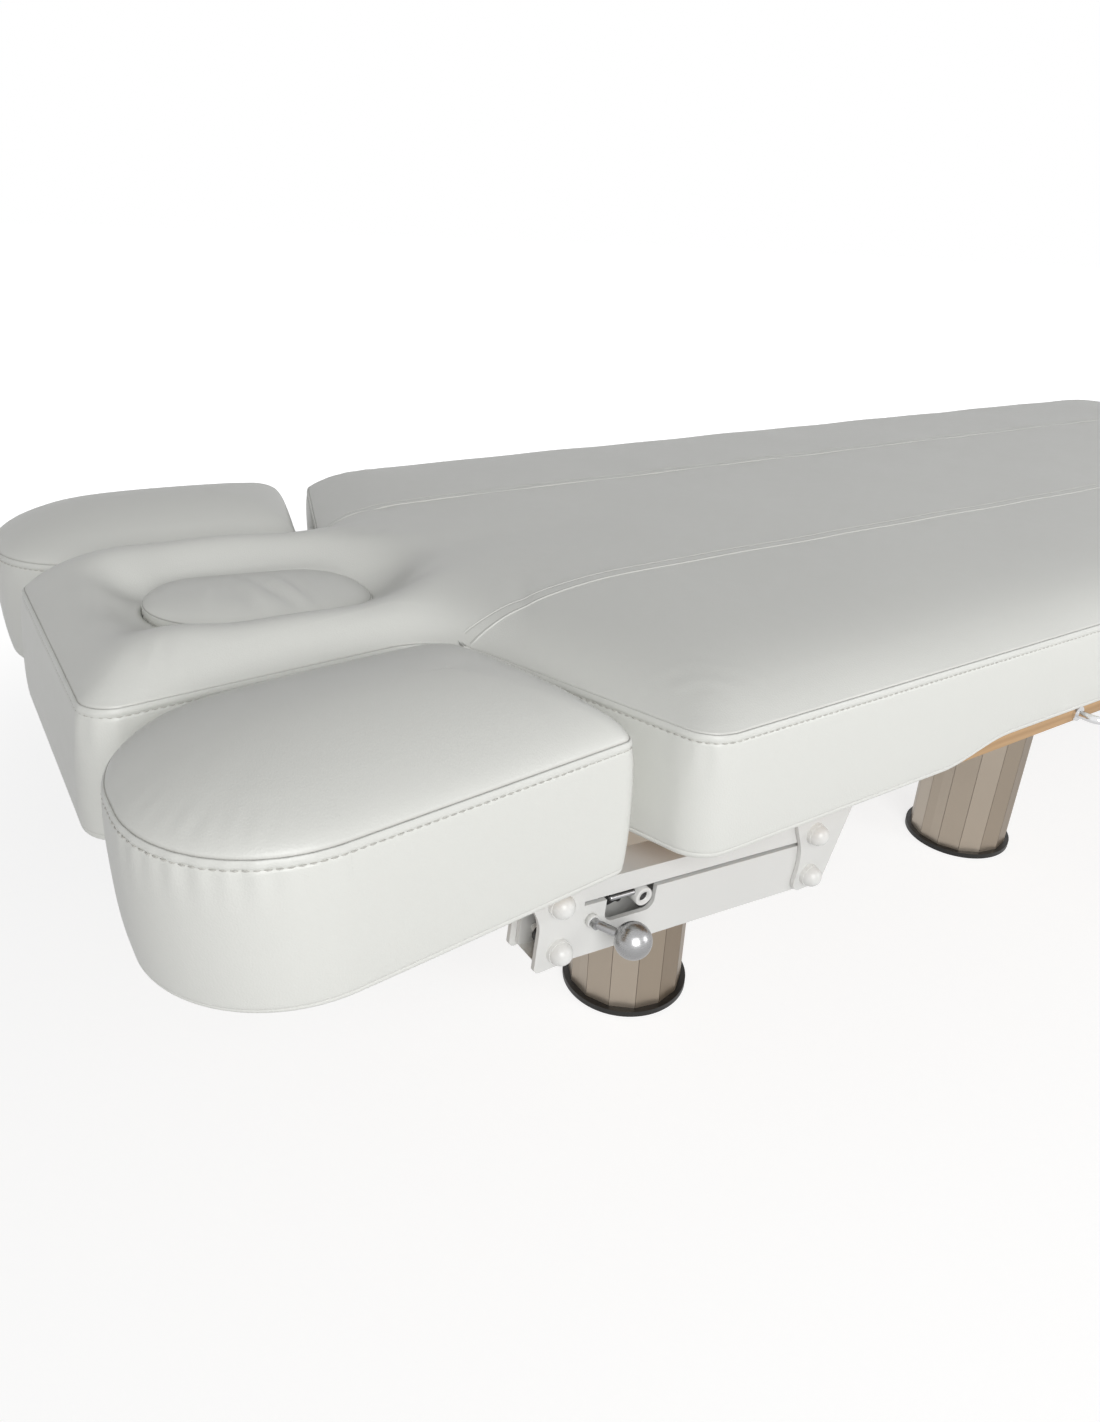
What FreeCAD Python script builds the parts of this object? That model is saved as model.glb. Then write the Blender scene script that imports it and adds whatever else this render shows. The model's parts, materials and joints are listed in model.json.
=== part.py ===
import FreeCAD, Part
import math
import os
import re
from FreeCAD import Placement, Rotation, Vector
import Sketcher

# Electric massage bed with two lifting columns, modelled at its lowest height.
# X runs from the head (-X) to the foot (+X), Y across the bed and Z up from the floor.
# The right side is at -Y. A station is a distance along X from the front of the armrests.

SIZES = (
    ("bed_length", 2022, "armrest fronts to foot end"),
    ("bed_width", 786, "mattress across its widest line"),
    ("seam_height", 615, "floor to the top edge seam, bed at its lowest"),
    ("boxing_depth", 103, "top edge seam to the lower edge of the mattress boxing"),
    ("armrest_depth", 110, "top edge seam to the underside of an armrest"),
    ("foam_depth", 88, "top edge seam to the deck"),
    ("mattress_crown", 35, "rise of the mattress above its edge seam"),
    ("armrest_crown", 36, "rise of an armrest above its edge seam"),
    ("head_setback", 3, "head end behind the armrest fronts"),
    ("head_width", 316, "head section at its front"),
    ("neck_width", 284, "head section at the neck"),
    ("neck_station", 283, "neck corner"),
    ("shoulder_station", 362, "outer shoulder corner"),
    ("head_radius", 30, "front corners of the head section"),
    ("neck_radius", 60, "inside corners of the neck"),
    ("shoulder_radius", 36, "outer shoulder corners"),
    ("foot_radius", 62, "foot corners"),
    ("bare_edge_station", 725, "from here the deck edge shows"),
    ("boxing_ramp", 88, "length over which the boxing rises to the deck"),
    ("face_station", 180, "centre of the face hole"),
    ("face_length", 198, "face hole along the bed"),
    ("face_width", 120, "face hole across the bed"),
    ("edge_tuck", 4, "boxing drawn in at its two edges"),
    ("mattress_shoulder", 108, "mattress edge to the flat of its crown"),
    ("armrest_shoulder", 84, "armrest edge to the flat of its crown"),
    ("face_dish", 34, "width of the dip round the face hole"),
    ("face_rim", 8, "rim of the face hole above the edge seam"),
    ("plug_depth", 62, "face plug below its edge seam"),
    ("plug_crown", 12, "rise of the face plug"),
    ("plug_shoulder", 34, "face plug's edge to the flat of its crown"),
    ("soft_gap", 0.3, "clearance round a cushion's fitted pieces"),
    ("armrest_front_flare", 3, "armrest beyond the mattress side at the front"),
    ("armrest_back_inset", 28, "armrest inside the mattress side at the back"),
    ("armrest_front_gap", 18, "armrest to head section at the front"),
    ("armrest_neck_gap", 12, "armrest to head section at the neck"),
    ("armrest_inner_back", 8, "inner back corner ahead of the neck corner"),
    ("armrest_outer_back", 36, "outer back corner ahead of the shoulder corner"),
    ("armrest_front_radius", 100, "outer front corner of an armrest"),
    ("armrest_inner_radius", 100, "inner front corner of an armrest"),
    ("armrest_neck_radius", 36, "inner back corner of an armrest"),
    ("armrest_back_radius", 14, "outer back corner of an armrest"),
    ("armrest_board_inset", 10, "armrest board inside the cushion's edge"),
    ("armrest_board_depth", 12, "armrest board thickness"),
    ("deck_thickness", 16, "wooden deck"),
    ("deck_inset", 9, "deck edge inside the mattress edge"),
    ("rail_spread", 500, "outside width over the two frame rails"),
    ("rail_width", 25, "frame tube across"),
    ("rail_height", 40, "frame tube upright"),
    ("rail_wall", 2.5, "frame tube wall"),
    ("rail_start", 400, "front end of the frame rails"),
    ("rail_end_gap", 60, "rear end of the frame rails inside the foot end"),
    ("cross_width", 40, "cross tube along the bed"),
    ("cross_setback", 20, "end cross tubes inside the rail ends"),
    ("column_station", 628, "head column centre"),
    ("column_spacing", 716, "column centres apart"),
    ("column_flats", 150, "column over its cladding"),
    ("slat_thickness", 5, "cladding slat"),
    ("slat_gap", 0.6, "joint between two slats"),
    ("sleeve_bore", 128, "inside of the fixed sleeve"),
    ("sleeve_clearance", 18, "fixed sleeve below the head plate at its lowest"),
    ("plinth_height", 8, "floor plate"),
    ("plinth_margin", 9, "floor plate beyond the cladding"),
    ("anchor_along", 56, "anchor holes along the bed"),
    ("anchor_across", 68, "anchor holes across the bed"),
    ("anchor_bore", 11, "anchor hole"),
    ("stage_diameter", 120, "moving tube"),
    ("stage_wall", 4, "moving tube wall"),
    ("stage_lift", 18, "moving tube above the floor plate at its lowest"),
    ("glide_depth", 30, "glide ring down the sleeve"),
    ("glide_flange", 3, "glide ring's flange"),
    ("glide_lip", 4, "glide ring's flange over the sleeve"),
    ("running_gap", 0.3, "clearance of a sliding fit"),
    ("head_plate", 190, "column head plate, square"),
    ("head_plate_thickness", 8, "column head plate"),
    ("bolt_along", 130, "head plate bolts along the bed"),
    ("bolt_across", 150, "head plate bolts across the bed"),
    ("bolt_diameter", 8, "head plate bolt"),
    ("bolt_grip", 15, "head plate bolt above the plate's underside"),
    ("bolt_head", 5.3, "head plate bolt's head height"),
    ("bolt_corner", 7.2, "head plate bolt's axis to a corner of its head"),
    ("gear_length", 68, "lift gearbox along the bed"),
    ("gear_width", 34, "lift gearbox across"),
    ("gear_height", 45, "lift gearbox"),
    ("gear_front", 20, "gearbox ahead of the spindle line"),
    ("guide_diameter", 32, "lift guide tube"),
    ("guide_clearance", 28, "lift guide tube below the head plate at its lowest"),
    ("ram_diameter", 18, "lift rod"),
    ("ram_lift", 8, "lift rod's end above the bottom of its bore"),
    ("bore_floor", 8, "gearbox floor under the bore"),
    ("motor_diameter", 30, "lift motor"),
    ("motor_length", 105, "lift motor"),
    ("motor_offset", 33, "motor behind the spindle line"),
    ("control_station", 1000, "control box centre"),
    ("control_length", 200, "control box along the bed"),
    ("control_width", 130, "control box across"),
    ("control_height", 56, "control box"),
    ("control_radius", 6, "control box corners"),
    ("inlet_width", 50, "mains inlet"),
    ("inlet_height", 28, "mains inlet"),
    ("inlet_depth", 14, "mains inlet standing out of the box"),
    ("inlet_wall", 3, "mains inlet wall"),
    ("port_diameter", 18, "handset socket"),
    ("port_depth", 10, "handset socket standing out of the box"),
    ("port_offset", 44, "handset socket beside the mains inlet"),
    ("towel_station", 843, "front end of a towel rail"),
    ("towel_length", 440, "towel rail, centre of one leg to the other"),
    ("towel_diameter", 8, "towel rail tube"),
    ("towel_standoff", 26, "towel rail from the deck edge"),
    ("towel_bend", 14, "towel rail bend"),
    ("towel_flange", 15, "towel rail foot"),
    ("towel_flange_depth", 3, "towel rail foot"),
    ("link_inset", 48, "outer face of the arm brackets inside the mattress side"),
    ("bracket_width", 40, "arm bracket over its cheeks"),
    ("sheet_metal", 4, "bracket and link sheet"),
    ("cheek_gap", 0.5, "link to bracket cheek"),
    ("cheek_below", 15, "bracket cheek below its lower pivot"),
    ("cheek_radius", 9, "lower back corner of a bracket cheek"),
    ("cheek_toe_radius", 5, "lower front corner of a bracket cheek"),
    ("bed_plate_front", 38, "bed bracket's top ahead of its pivots"),
    ("bed_plate_back", 58, "bed bracket's top behind its pivots"),
    ("bed_waist_front", 11, "bed bracket's waist ahead of its pivots"),
    ("bed_waist_drop", 20, "bed bracket's waist below its upper pivot"),
    ("bed_cheek_front", 18, "bed bracket's cheek ahead of its lower pivot"),
    ("bed_cheek_back", 19, "bed bracket's cheek behind its lower pivot"),
    ("bed_waist_radius", 60, "front hollow of a bed bracket"),
    ("arm_plate_front", 30, "arm bracket's top ahead of its pivots"),
    ("arm_plate_back", 25, "arm bracket's top behind its pivots"),
    ("arm_waist_front", 16, "arm bracket's waist ahead of its pivots"),
    ("arm_waist_drop", 14, "arm bracket's waist below its upper pivot"),
    ("arm_waist_radius", 34, "front hollow of an arm bracket"),
    ("arm_cheek_front", 21, "arm bracket's cheek ahead of its lower pivot"),
    ("arm_cheek_back", 9, "arm bracket's cheek behind its lower pivot"),
    ("arm_knee_back", 21, "arm bracket's knee behind its lower pivot"),
    ("arm_knee_rise", 12, "arm bracket's knee above its lower pivot"),
    ("link_length", 268, "between a link's pivots"),
    ("link_tilt", 5.6, "links above level, in degrees"),
    ("pivot_spacing", 43, "upper pivot above the lower one"),
    ("pivot_station", 541, "bed pivots"),
    ("pivot_drop", 48, "upper bed pivot under the armrests"),
    ("upper_above", 8, "upper link above its pivots"),
    ("upper_below", 9, "upper link below its pivots"),
    ("lower_above", 30, "lower link above its pivots"),
    ("lower_below", 17, "lower link below its pivots"),
    ("link_end", 14, "link beyond its pivots"),
    ("link_radius", 7, "link corners"),
    ("pin_diameter", 8, "pivot pin"),
    ("pin_gap", 0.05, "radial clearance of a pin"),
    ("cap_flange", 20, "pivot cap's flange"),
    ("cap_flange_depth", 4, "pivot cap's flange"),
    ("cap_dome", 19, "pivot cap's dome"),
    ("cap_bore", 4, "pin inside its cap"),
    ("slot_start", 44, "lock window behind the arm pivots"),
    ("slot_length", 49, "lock window"),
    ("slot_radius", 9, "lower corners of the lock window"),
    ("slot_rise", 9, "lock window's lower edge above the lower pivots"),
    ("lever_back", 31, "lever shaft behind the arm pivots"),
    ("lever_rise", 16, "lever shaft above the lower pivots"),
    ("shaft_diameter", 8, "lever shaft"),
    ("shaft_reach", 9, "lever shaft outside the lower link"),
    ("lever_diameter", 7, "lever rod"),
    ("ball_diameter", 29, "lever ball"),
    ("ball_out", 33, "lever ball outside the lower link"),
    ("ball_back", 16, "lever ball behind the shaft"),
    ("ball_drop", 2, "lever ball below the shaft"),
    ("ball_bore", 9, "lever rod inside its ball"),
    ("cam_diameter", 15, "lock cam"),
    ("cam_offset", 1, "lock cam off the shaft's axis"),
    ("lock_width", 8, "lock cam and sector across"),
    ("lock_gap", 0.3, "lock cam to sector"),
    ("sector_hub", 15, "lock sector's hub"),
    ("screw_diameter", 5, "wood screw"),
    ("screw_depth", 9, "wood screw inside the wood"),
    ("screw_head", 10, "wood screw's head"),
    ("screw_head_depth", 2.6, "wood screw's head"),
    ("screw_spread", 16, "wood screws across a bracket"),
    ("bed_screw_reach", 24, "bed bracket's screws either side of its pivots"),
    ("arm_screw_front", 20, "arm bracket's screws ahead of its pivots"),
    ("arm_screw_back", 12, "arm bracket's screws behind its pivots"),
)

SLATS = 14
SECTOR_START = 4
SECTOR_SWEEP = 58
BOXING_STEPS = (0, 0.1, 0.5, 0.9, 1)
CROWN_STEPS = (0.12, 0.35, 0.65, 1)
UP = Vector(0, 0, 1)
SIDES = (("right", -1), ("left", 1))
ENDS = ("head", "foot")

doc = FreeCAD.newDocument("massage_bed")
sheet = doc.addObject("Spreadsheet::Sheet", "sizes")
ALIASES = [alias for alias, number, meaning in SIZES]
for row, (alias, number, meaning) in enumerate(SIZES, start=1):
    sheet.set(f"A{row}", meaning)
    sheet.set(f"B{row}", str(number))
    sheet.setAlias(f"B{row}", alias)
doc.recompute()

nodes = []
column_bolts, towel_feet, bed_screws = [], [], []


# Expressions and plain features

def linked(text):
    """Expression text in which each size is read from the sheet."""
    return re.sub(r"[a-z_]+", lambda word: "sizes." + word[0] if word[0] in ALIASES else word[0], text)


def size(text):
    """Number that an expression of sizes gives."""
    return float(sheet.evalExpression(linked(text)))


def bind(thing, **dimensions):
    """Ties each named dimension of a feature to an expression of sizes."""
    for dimension, text in dimensions.items():
        thing.setExpression(dimension, linked(text))
    return thing


def primitive(kind, name, place, **dimensions):
    """Part primitive at a placement, with its dimensions tied to sizes."""
    thing = bind(doc.addObject("Part::" + kind, name), **dimensions)
    thing.Placement = place
    return thing


def block(name, dimensions, corner):
    """Box from its lowest corner, with its three dimensions as expressions."""
    length, width, height = dimensions
    return primitive("Box", name, Placement(corner, Rotation()), Length=length, Width=width, Height=height)


def rod(name, diameter, length, start, along):
    """Cylinder from a start point along a direction."""
    turn = Rotation(UP, along)
    return primitive("Cylinder", name, Placement(start, turn), Radius=f"({diameter}) / 2", Height=length)


def cut(name, base, tools):
    """Base without the tools."""
    for number, tool in enumerate(tools, start=1):
        result = doc.addObject("Part::Cut", f"{name}_cut_{number}")
        result.Base = base
        result.Tool = tool
        base = result
    return base


def fuse(name, parts):
    """One solid from overlapping or touching parts."""
    result = doc.addObject("Part::MultiFuse", name)
    result.Shapes = parts
    result.Refine = True
    return result


def group(name, parts):
    """Several separate solids in one object."""
    result = doc.addObject("Part::Compound", name)
    result.Links = parts
    return result


def moved(thing, place):
    """The same feature at a new placement."""
    thing.Placement = place.multiply(thing.Placement)
    return thing


def node(label, thing):
    """Gives a finished sub-part the label that names its file."""
    thing.Label = label
    nodes.append(thing)
    return thing


# Sketched plates

def origin_plane(body, role):
    """One of a body's own origin planes."""
    return [plane for plane in body.Origin.OriginFeatures if plane.Role == role][0]


def fix_point(sketch, geometry, point, where):
    """Ties a sketch point's two coordinates to expressions of sizes."""
    for kind, text in zip(("DistanceX", "DistanceY"), where):
        index = sketch.addConstraint(Sketcher.Constraint(kind, -1, 1, geometry, point, size(text)))
        sketch.setExpression(f"Constraints[{index}]", linked(text))


def plate(name, role, corners, thickness, holes=()):
    """Body padded from a polygon with round holes.

    A corner is (x, y) or (x, y, radius); a hole is (x, y, diameter). All are expressions of sizes.
    """
    body = doc.addObject("PartDesign::Body", name)
    sketch = body.newObject("Sketcher::SketchObject", name + "_sketch")
    sketch.AttachmentSupport = [(origin_plane(body, role), "")]
    sketch.MapMode = "FlatFace"
    spots = [Vector(size(corner[0]), size(corner[1]), 0) for corner in corners]
    for number, spot in enumerate(spots):
        sketch.addGeometry(Part.LineSegment(spot, spots[(number + 1) % len(spots)]))
    for number, corner in enumerate(corners):
        following = (number + 1) % len(corners)
        sketch.addConstraint(Sketcher.Constraint("Coincident", number, 2, following, 1))
        fix_point(sketch, number, 1, corner[:2])
    for x, y, diameter in holes:
        centre = Vector(size(x), size(y), 0)
        circle = sketch.addGeometry(Part.Circle(centre, UP, size(diameter) / 2))
        fix_point(sketch, circle, 3, (x, y))
        index = sketch.addConstraint(Sketcher.Constraint("Diameter", circle, size(diameter)))
        sketch.setExpression(f"Constraints[{index}]", linked(diameter))
    pad = bind(body.newObject("PartDesign::Pad", name + "_pad"), Length=thickness)
    pad.Profile = sketch
    doc.recompute()
    to_world = sketch.Placement
    for number, corner in enumerate(corners):
        if len(corner) == 3:
            spot = to_world.multVec(spots[number])
            normal = to_world.Rotation.multVec(UP)
            base = body.Tip
            edge = corner_edge(base.Shape, spot, normal)
            rounding = bind(body.newObject("PartDesign::Fillet", f"{name}_round_{number}"), Radius=corner[2])
            rounding.Base = (base, [edge])
            doc.recompute()
    return body


def corner_edge(shape, spot, normal):
    """Name of the straight edge that runs through a corner along the pad's direction."""
    for number, edge in enumerate(shape.Edges, start=1):
        first, last = edge.Vertexes[0].Point, edge.Vertexes[-1].Point
        along = abs((last - first).dot(normal)) > 0.99 * edge.Length
        aside = (first - spot) - normal * (first - spot).dot(normal)
        if along and aside.Length < 0.01:
            return f"Edge{number}"
    raise ValueError("no edge at the corner")


# Cushion outlines

FRONT = size("-bed_length / 2")
SEAM = size("seam_height")


def station(text):
    """X of a station."""
    return FRONT + size(text)


def mattress_corners():
    """Mattress outline at its widest line, anticlockwise: x, y and corner radius."""
    half = (
        (station("head_setback"), size("head_width / 2"), size("head_radius")),
        (station("neck_station"), size("neck_width / 2"), size("neck_radius")),
        (station("shoulder_station"), size("bed_width / 2"), size("shoulder_radius")),
        (station("bed_length"), size("bed_width / 2"), size("foot_radius")),
    )
    right = [(x, -y, radius) for x, y, radius in half]
    return right + list(reversed(half))


def armrest_corners(side):
    """Armrest outline at its widest line, anticlockwise: x, y and corner radius."""
    half = (
        (station("0"), size("bed_width / 2 + armrest_front_flare"), size("armrest_front_radius")),
        (station("shoulder_station - armrest_outer_back"), size("bed_width / 2 - armrest_back_inset"),
         size("armrest_back_radius")),
        (station("neck_station - armrest_inner_back"), size("neck_width / 2 + armrest_neck_gap"),
         size("armrest_neck_radius")),
        (station("0"), size("head_width / 2 + armrest_front_gap"), size("armrest_inner_radius")),
    )
    outline = [(x, side * y, radius) for x, y, radius in half]
    return outline if side < 0 else list(reversed(outline))


def stadium_corners(length, width):
    """Face hole or plug as a rectangle whose corners are nearly quarter circles."""
    x, y = station("face_station"), width / 2
    radius = 0.49 * width
    return [(x - length / 2, -y, radius), (x + length / 2, -y, radius),
            (x + length / 2, y, radius), (x - length / 2, y, radius)]


def rounded_outline(corners, inset, height):
    """Wire of lines and arcs: the polygon drawn in by an inset, with every corner rounded."""
    least_radius = 5
    points = [Vector(x, y, height) for x, y, radius in corners]
    count = len(points)
    ways = [(points[(i + 1) % count] - points[i]).normalize() for i in range(count)]
    inward = [UP.cross(way) for way in ways]
    starts, middles, ends = [], [], []
    for i, (x, y, radius) in enumerate(corners):
        before, after = ways[i - 1], ways[i]
        turn = math.asin(max(-1, min(1, before.cross(after).dot(UP))))
        if before.dot(after) < 0:
            turn = math.copysign(math.pi, turn) - turn
        slide = math.tan(turn / 2)
        corner = points[i] + inward[i] * inset + after * (inset * slide)
        bend = max(radius - math.copysign(inset, turn), least_radius)
        reach = bend * abs(slide)
        centre_way = (after - before).normalize()
        starts.append(corner - before * reach)
        ends.append(corner + after * reach)
        middles.append(corner + centre_way * (bend / math.cos(turn / 2) - bend))
    edges = []
    for i in range(count):
        edges.append(Part.Arc(starts[i], middles[i], ends[i]).toShape())
        edges.append(Part.LineSegment(ends[i], starts[(i + 1) % count]).toShape())
    return Part.Wire(edges)


def cushion(corners, levels):
    """Solid through outlines at several heights: (height over the edge seam, inset) from below."""
    wires = [rounded_outline(corners, inset, SEAM + height) for height, inset in levels]
    return Part.makeLoft(wires, True, True)


def cushion_levels(bottom, top, tuck, crown, shoulder):
    """Heights over the edge seam and insets of a cushion from below.

    The side swells by the cube of the distance from its middle, and the crown rises as a parabola
    from the edge to the shoulder.
    """
    side = [(bottom + step * (top - bottom), tuck * abs(2 * step - 1) ** 3) for step in BOXING_STEPS]
    rise = [(top + crown * (1 - (1 - step) ** 2), tuck + step * (shoulder - tuck)) for step in CROWN_STEPS]
    return side + rise


def slab(corners, inset, bottom, top):
    """Flat solid of an outline between two heights over the edge seam."""
    face = Part.Face(rounded_outline(corners, inset, SEAM + bottom))
    return face.extrude(UP * (top - bottom))


def shaped(name, shape):
    """Feature that holds a shape made from the sizes."""
    thing = doc.addObject("Part::Feature", name)
    thing.Shape = shape
    return thing


# Upholstery

def mattress():
    """Foam and cover in one piece, with its face hole and the boxing that wraps the deck in front."""
    depth, foam, crown = size("boxing_depth"), size("foam_depth"), size("mattress_crown")
    outline = mattress_corners()
    solid = cushion(outline, cushion_levels(-depth, 0, size("edge_tuck"), crown, size("mattress_shoulder")))
    solid = solid.cut(slab(outline, size("deck_inset - soft_gap"), -depth - 1, -foam))
    low, high = SEAM - depth - 1, SEAM - foam
    bare, half = station("bare_edge_station"), size("bed_width")
    ramp = [Vector(bare - size("boxing_ramp"), -half, low), Vector(bare, -half, high),
            Vector(station("bed_length + 1"), -half, high), Vector(station("bed_length + 1"), -half, low)]
    solid = solid.cut(Part.Face(Part.makePolygon(ramp + ramp[:1])).extrude(Vector(0, 2 * half, 0)))
    hole = stadium_corners(size("face_length"), size("face_width"))
    solid = solid.cut(slab(hole, 0, -depth, crown + 1))
    rim, dish = size("face_rim"), size("face_dish")
    dip = [rounded_outline(hole, 0, SEAM + rim), rounded_outline(hole, -dish, SEAM + crown + 1)]
    solid = solid.cut(Part.makeLoft(dip, True, True))
    node("mattress", shaped("mattress", solid))


def face_plug():
    """Removable padded plug of the face hole."""
    rim = size("face_rim")
    outline = stadium_corners(size("face_length - 2 * soft_gap"), size("face_width - 2 * soft_gap"))
    levels = cushion_levels(rim - size("plug_depth"), rim, size("edge_tuck"), size("plug_crown"),
                            size("plug_shoulder"))
    node("face_plug", shaped("face_plug", cushion(outline, levels)))


def armrest_cushion(name, side):
    """Armrest foam and cover, hollowed underneath for its board."""
    depth = size("armrest_depth")
    outline = armrest_corners(side)
    solid = cushion(outline, cushion_levels(-depth, 0, size("edge_tuck"), size("armrest_crown"),
                                            size("armrest_shoulder")))
    pocket = slab(outline, size("armrest_board_inset - soft_gap"), -depth - 1,
                  size("armrest_board_depth + soft_gap") - depth)
    node("armrest_cushion_" + name, shaped("armrest_cushion_" + name, solid.cut(pocket)))


# Deck and frame

DECK_TOP = size("seam_height - foam_depth")
DECK_BOTTOM = size("seam_height - foam_depth - deck_thickness")
RAIL_BOTTOM = DECK_BOTTOM - size("rail_height")
PLATE_BOTTOM = RAIL_BOTTOM - size("head_plate_thickness")
COLUMN_X = {"head": station("column_station"), "foot": station("column_station + column_spacing")}


def deck_board():
    """Wooden deck under the mattress, with the face hole and the bracket screw holes."""
    top = -size("foam_depth")
    bottom = top - size("deck_thickness")
    board = slab(mattress_corners(), size("deck_inset"), bottom, top)
    hole = stadium_corners(size("face_length"), size("face_width"))
    board = board.cut(slab(hole, 0, bottom - 1, top + 1))
    base = shaped("deck_blank", board)
    holes = []
    for name, side in SIDES:
        holes += screw_holes("deck_" + name, bed_screw_spots(side), DECK_BOTTOM)
    node("deck_board", cut("deck_board", base, holes))


def hollow_tube(name, dimensions, corner, along):
    """Rectangular tube along X or Y, open at its ends."""
    wall = size("rail_wall")
    length, width, height = dimensions
    outer = block(name + "_outer", dimensions, corner)
    low = f"{height} - 2 * rail_wall"
    if along == "x":
        inner = (f"{length} + 2", f"{width} - 2 * rail_wall", low)
        start = corner + Vector(-1, wall, wall)
    else:
        inner = (f"{length} - 2 * rail_wall", f"{width} + 2", low)
        start = corner + Vector(wall, -1, wall)
    return cut(name, outer, [block(name + "_inner", inner, start)])


def frame():
    """Two long rails and the cross tubes between them."""
    length = "bed_length - rail_end_gap - rail_start"
    for name, side in SIDES:
        edge = side * size("rail_spread / 2")
        low = edge if side < 0 else edge - size("rail_width")
        corner = Vector(station("rail_start"), low, RAIL_BOTTOM)
        rail = hollow_tube("frame_rail_" + name, (length, "rail_width", "rail_height"), corner, "x")
        node("frame_rail_" + name, rail)
    width = "rail_spread - 2 * rail_width"
    plain = {"front": station("rail_start + cross_setback"),
             "rear": station("bed_length - rail_end_gap - cross_setback - cross_width")}
    for name, start in plain.items():
        corner = Vector(start, -size(width) / 2, RAIL_BOTTOM)
        tube = hollow_tube("cross_tube_" + name, ("cross_width", width, "rail_height"), corner, "y")
        node("cross_tube_" + name, tube)
    for end in ENDS:
        tubes = []
        for number, way in enumerate((-1, 1)):
            start = COLUMN_X[end] + way * size("bolt_along / 2") - size("cross_width / 2")
            name = f"column_tube_{end}_{number}"
            tube = hollow_tube(name, ("cross_width", width, "rail_height"),
                               Vector(start, -size(width) / 2, RAIL_BOTTOM), "y")
            spots = [spot for spot in bolt_spots(end) if (spot.x - COLUMN_X[end]) * way > 0]
            tubes.append(cut(name + "_drilled", tube, bolt_holes(name, spots, RAIL_BOTTOM)))
        node("cross_tubes_" + end, group("cross_tubes_" + end, tubes))


def bolt_spots(end):
    """Head plate bolt positions of one column, at height 0."""
    along, across = size("bolt_along / 2"), size("bolt_across / 2")
    return [Vector(COLUMN_X[end] + i * along, j * across, 0) for i in (-1, 1) for j in (-1, 1)]


def bolt_holes(name, spots, bottom):
    """Drills for the head plate bolts, through a wall that starts at a height."""
    depth = "rail_wall + head_plate_thickness + 2"
    return [rod(f"{name}_drill_{number}", "bolt_diameter + 2 * pin_gap", depth, spot + UP * (bottom - 1), UP)
            for number, spot in enumerate(spots)]


# Lifting columns

COLUMN_RISE = "seam_height - foam_depth - deck_thickness - rail_height - head_plate_thickness - plinth_height"
SLEEVE_HEIGHT = COLUMN_RISE + " - sleeve_clearance"


def column(end):
    """One telescopic column with its cladding, drive and head plate."""
    x = COLUMN_X[end]
    foot = Vector(x, 0, 0)
    top = size("plinth_height")
    side_ratio = math.cos(math.pi / SLATS)
    half_side = Rotation(UP, 180 / SLATS)
    plinth = rod("plinth_" + end, "column_flats + 2 * plinth_margin", "plinth_height", foot, UP)
    along, across = size("anchor_along / 2"), size("anchor_across / 2")
    anchors = [rod(f"anchor_{end}_{i}_{j}", "anchor_bore", "plinth_height + 2",
                   foot + Vector(i * along, j * across, -1), UP) for i in (-1, 1) for j in (-1, 1)]
    node("base_plate_" + end, cut("base_plate_" + end, plinth, anchors))

    core = primitive("Prism", "core_" + end, Placement(foot + UP * top, half_side), Height=SLEEVE_HEIGHT,
                     Circumradius=f"(column_flats / 2 - slat_thickness) / {side_ratio}")
    core.Polygon = SLATS
    bore = rod("core_bore_" + end, "sleeve_bore", SLEEVE_HEIGHT + " + 2", foot + UP * (top - 1), UP)
    node("column_sleeve_" + end, cut("column_sleeve_" + end, core, [bore]))

    slats = []
    slope = math.tan(math.pi / SLATS)
    inner = f"(2 * (column_flats / 2 - slat_thickness) * {slope} - slat_gap) / 2"
    outer = f"(column_flats * {slope} - slat_gap) / 2"
    back = Vector(size("column_flats / 2 - slat_thickness"), 0, top)
    for number in range(SLATS):
        slat = primitive("Wedge", f"slat_{end}_{number}", Placement(back, Rotation(UP, -90)),
                         Xmin=f"-{inner}", Xmax=inner, X2min=f"-{outer}", X2max=outer,
                         Ymax="slat_thickness", Zmax=SLEEVE_HEIGHT, Z2max=SLEEVE_HEIGHT)
        slat.Z2min = 0
        slats.append(moved(slat, Placement(foot, Rotation(UP, 360 * number / SLATS))))
    node("column_slats_" + end, group("column_slats_" + end, slats))

    sleeve_top = foot + UP * (top + size(SLEEVE_HEIGHT))
    flange = rod("glide_flange_" + end, "sleeve_bore + 2 * glide_lip", "glide_flange", sleeve_top, UP)
    collar = rod("glide_collar_" + end, "sleeve_bore - 2 * pin_gap", "glide_depth",
                 sleeve_top - UP * size("glide_depth"), UP)
    way = rod("glide_way_" + end, "stage_diameter + 2 * running_gap", "glide_depth + glide_flange + 2",
              sleeve_top - UP * (size("glide_depth") + 1), UP)
    node("glide_ring_" + end, cut("glide_ring_" + end, fuse("glide_blank_" + end, [flange, collar]), [way]))

    stage_foot = foot + UP * (top + size("stage_lift"))
    stage_height = COLUMN_RISE + " - stage_lift"
    tube = rod("stage_tube_" + end, "stage_diameter", stage_height, stage_foot, UP)
    hollow = rod("stage_hollow_" + end, "stage_diameter - 2 * stage_wall", stage_height + " + 2",
                 stage_foot - UP, UP)
    node("column_stage_" + end, cut("column_stage_" + end, tube, [hollow]))
    head_plate(end)
    drive(end, foot + UP * top)


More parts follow.
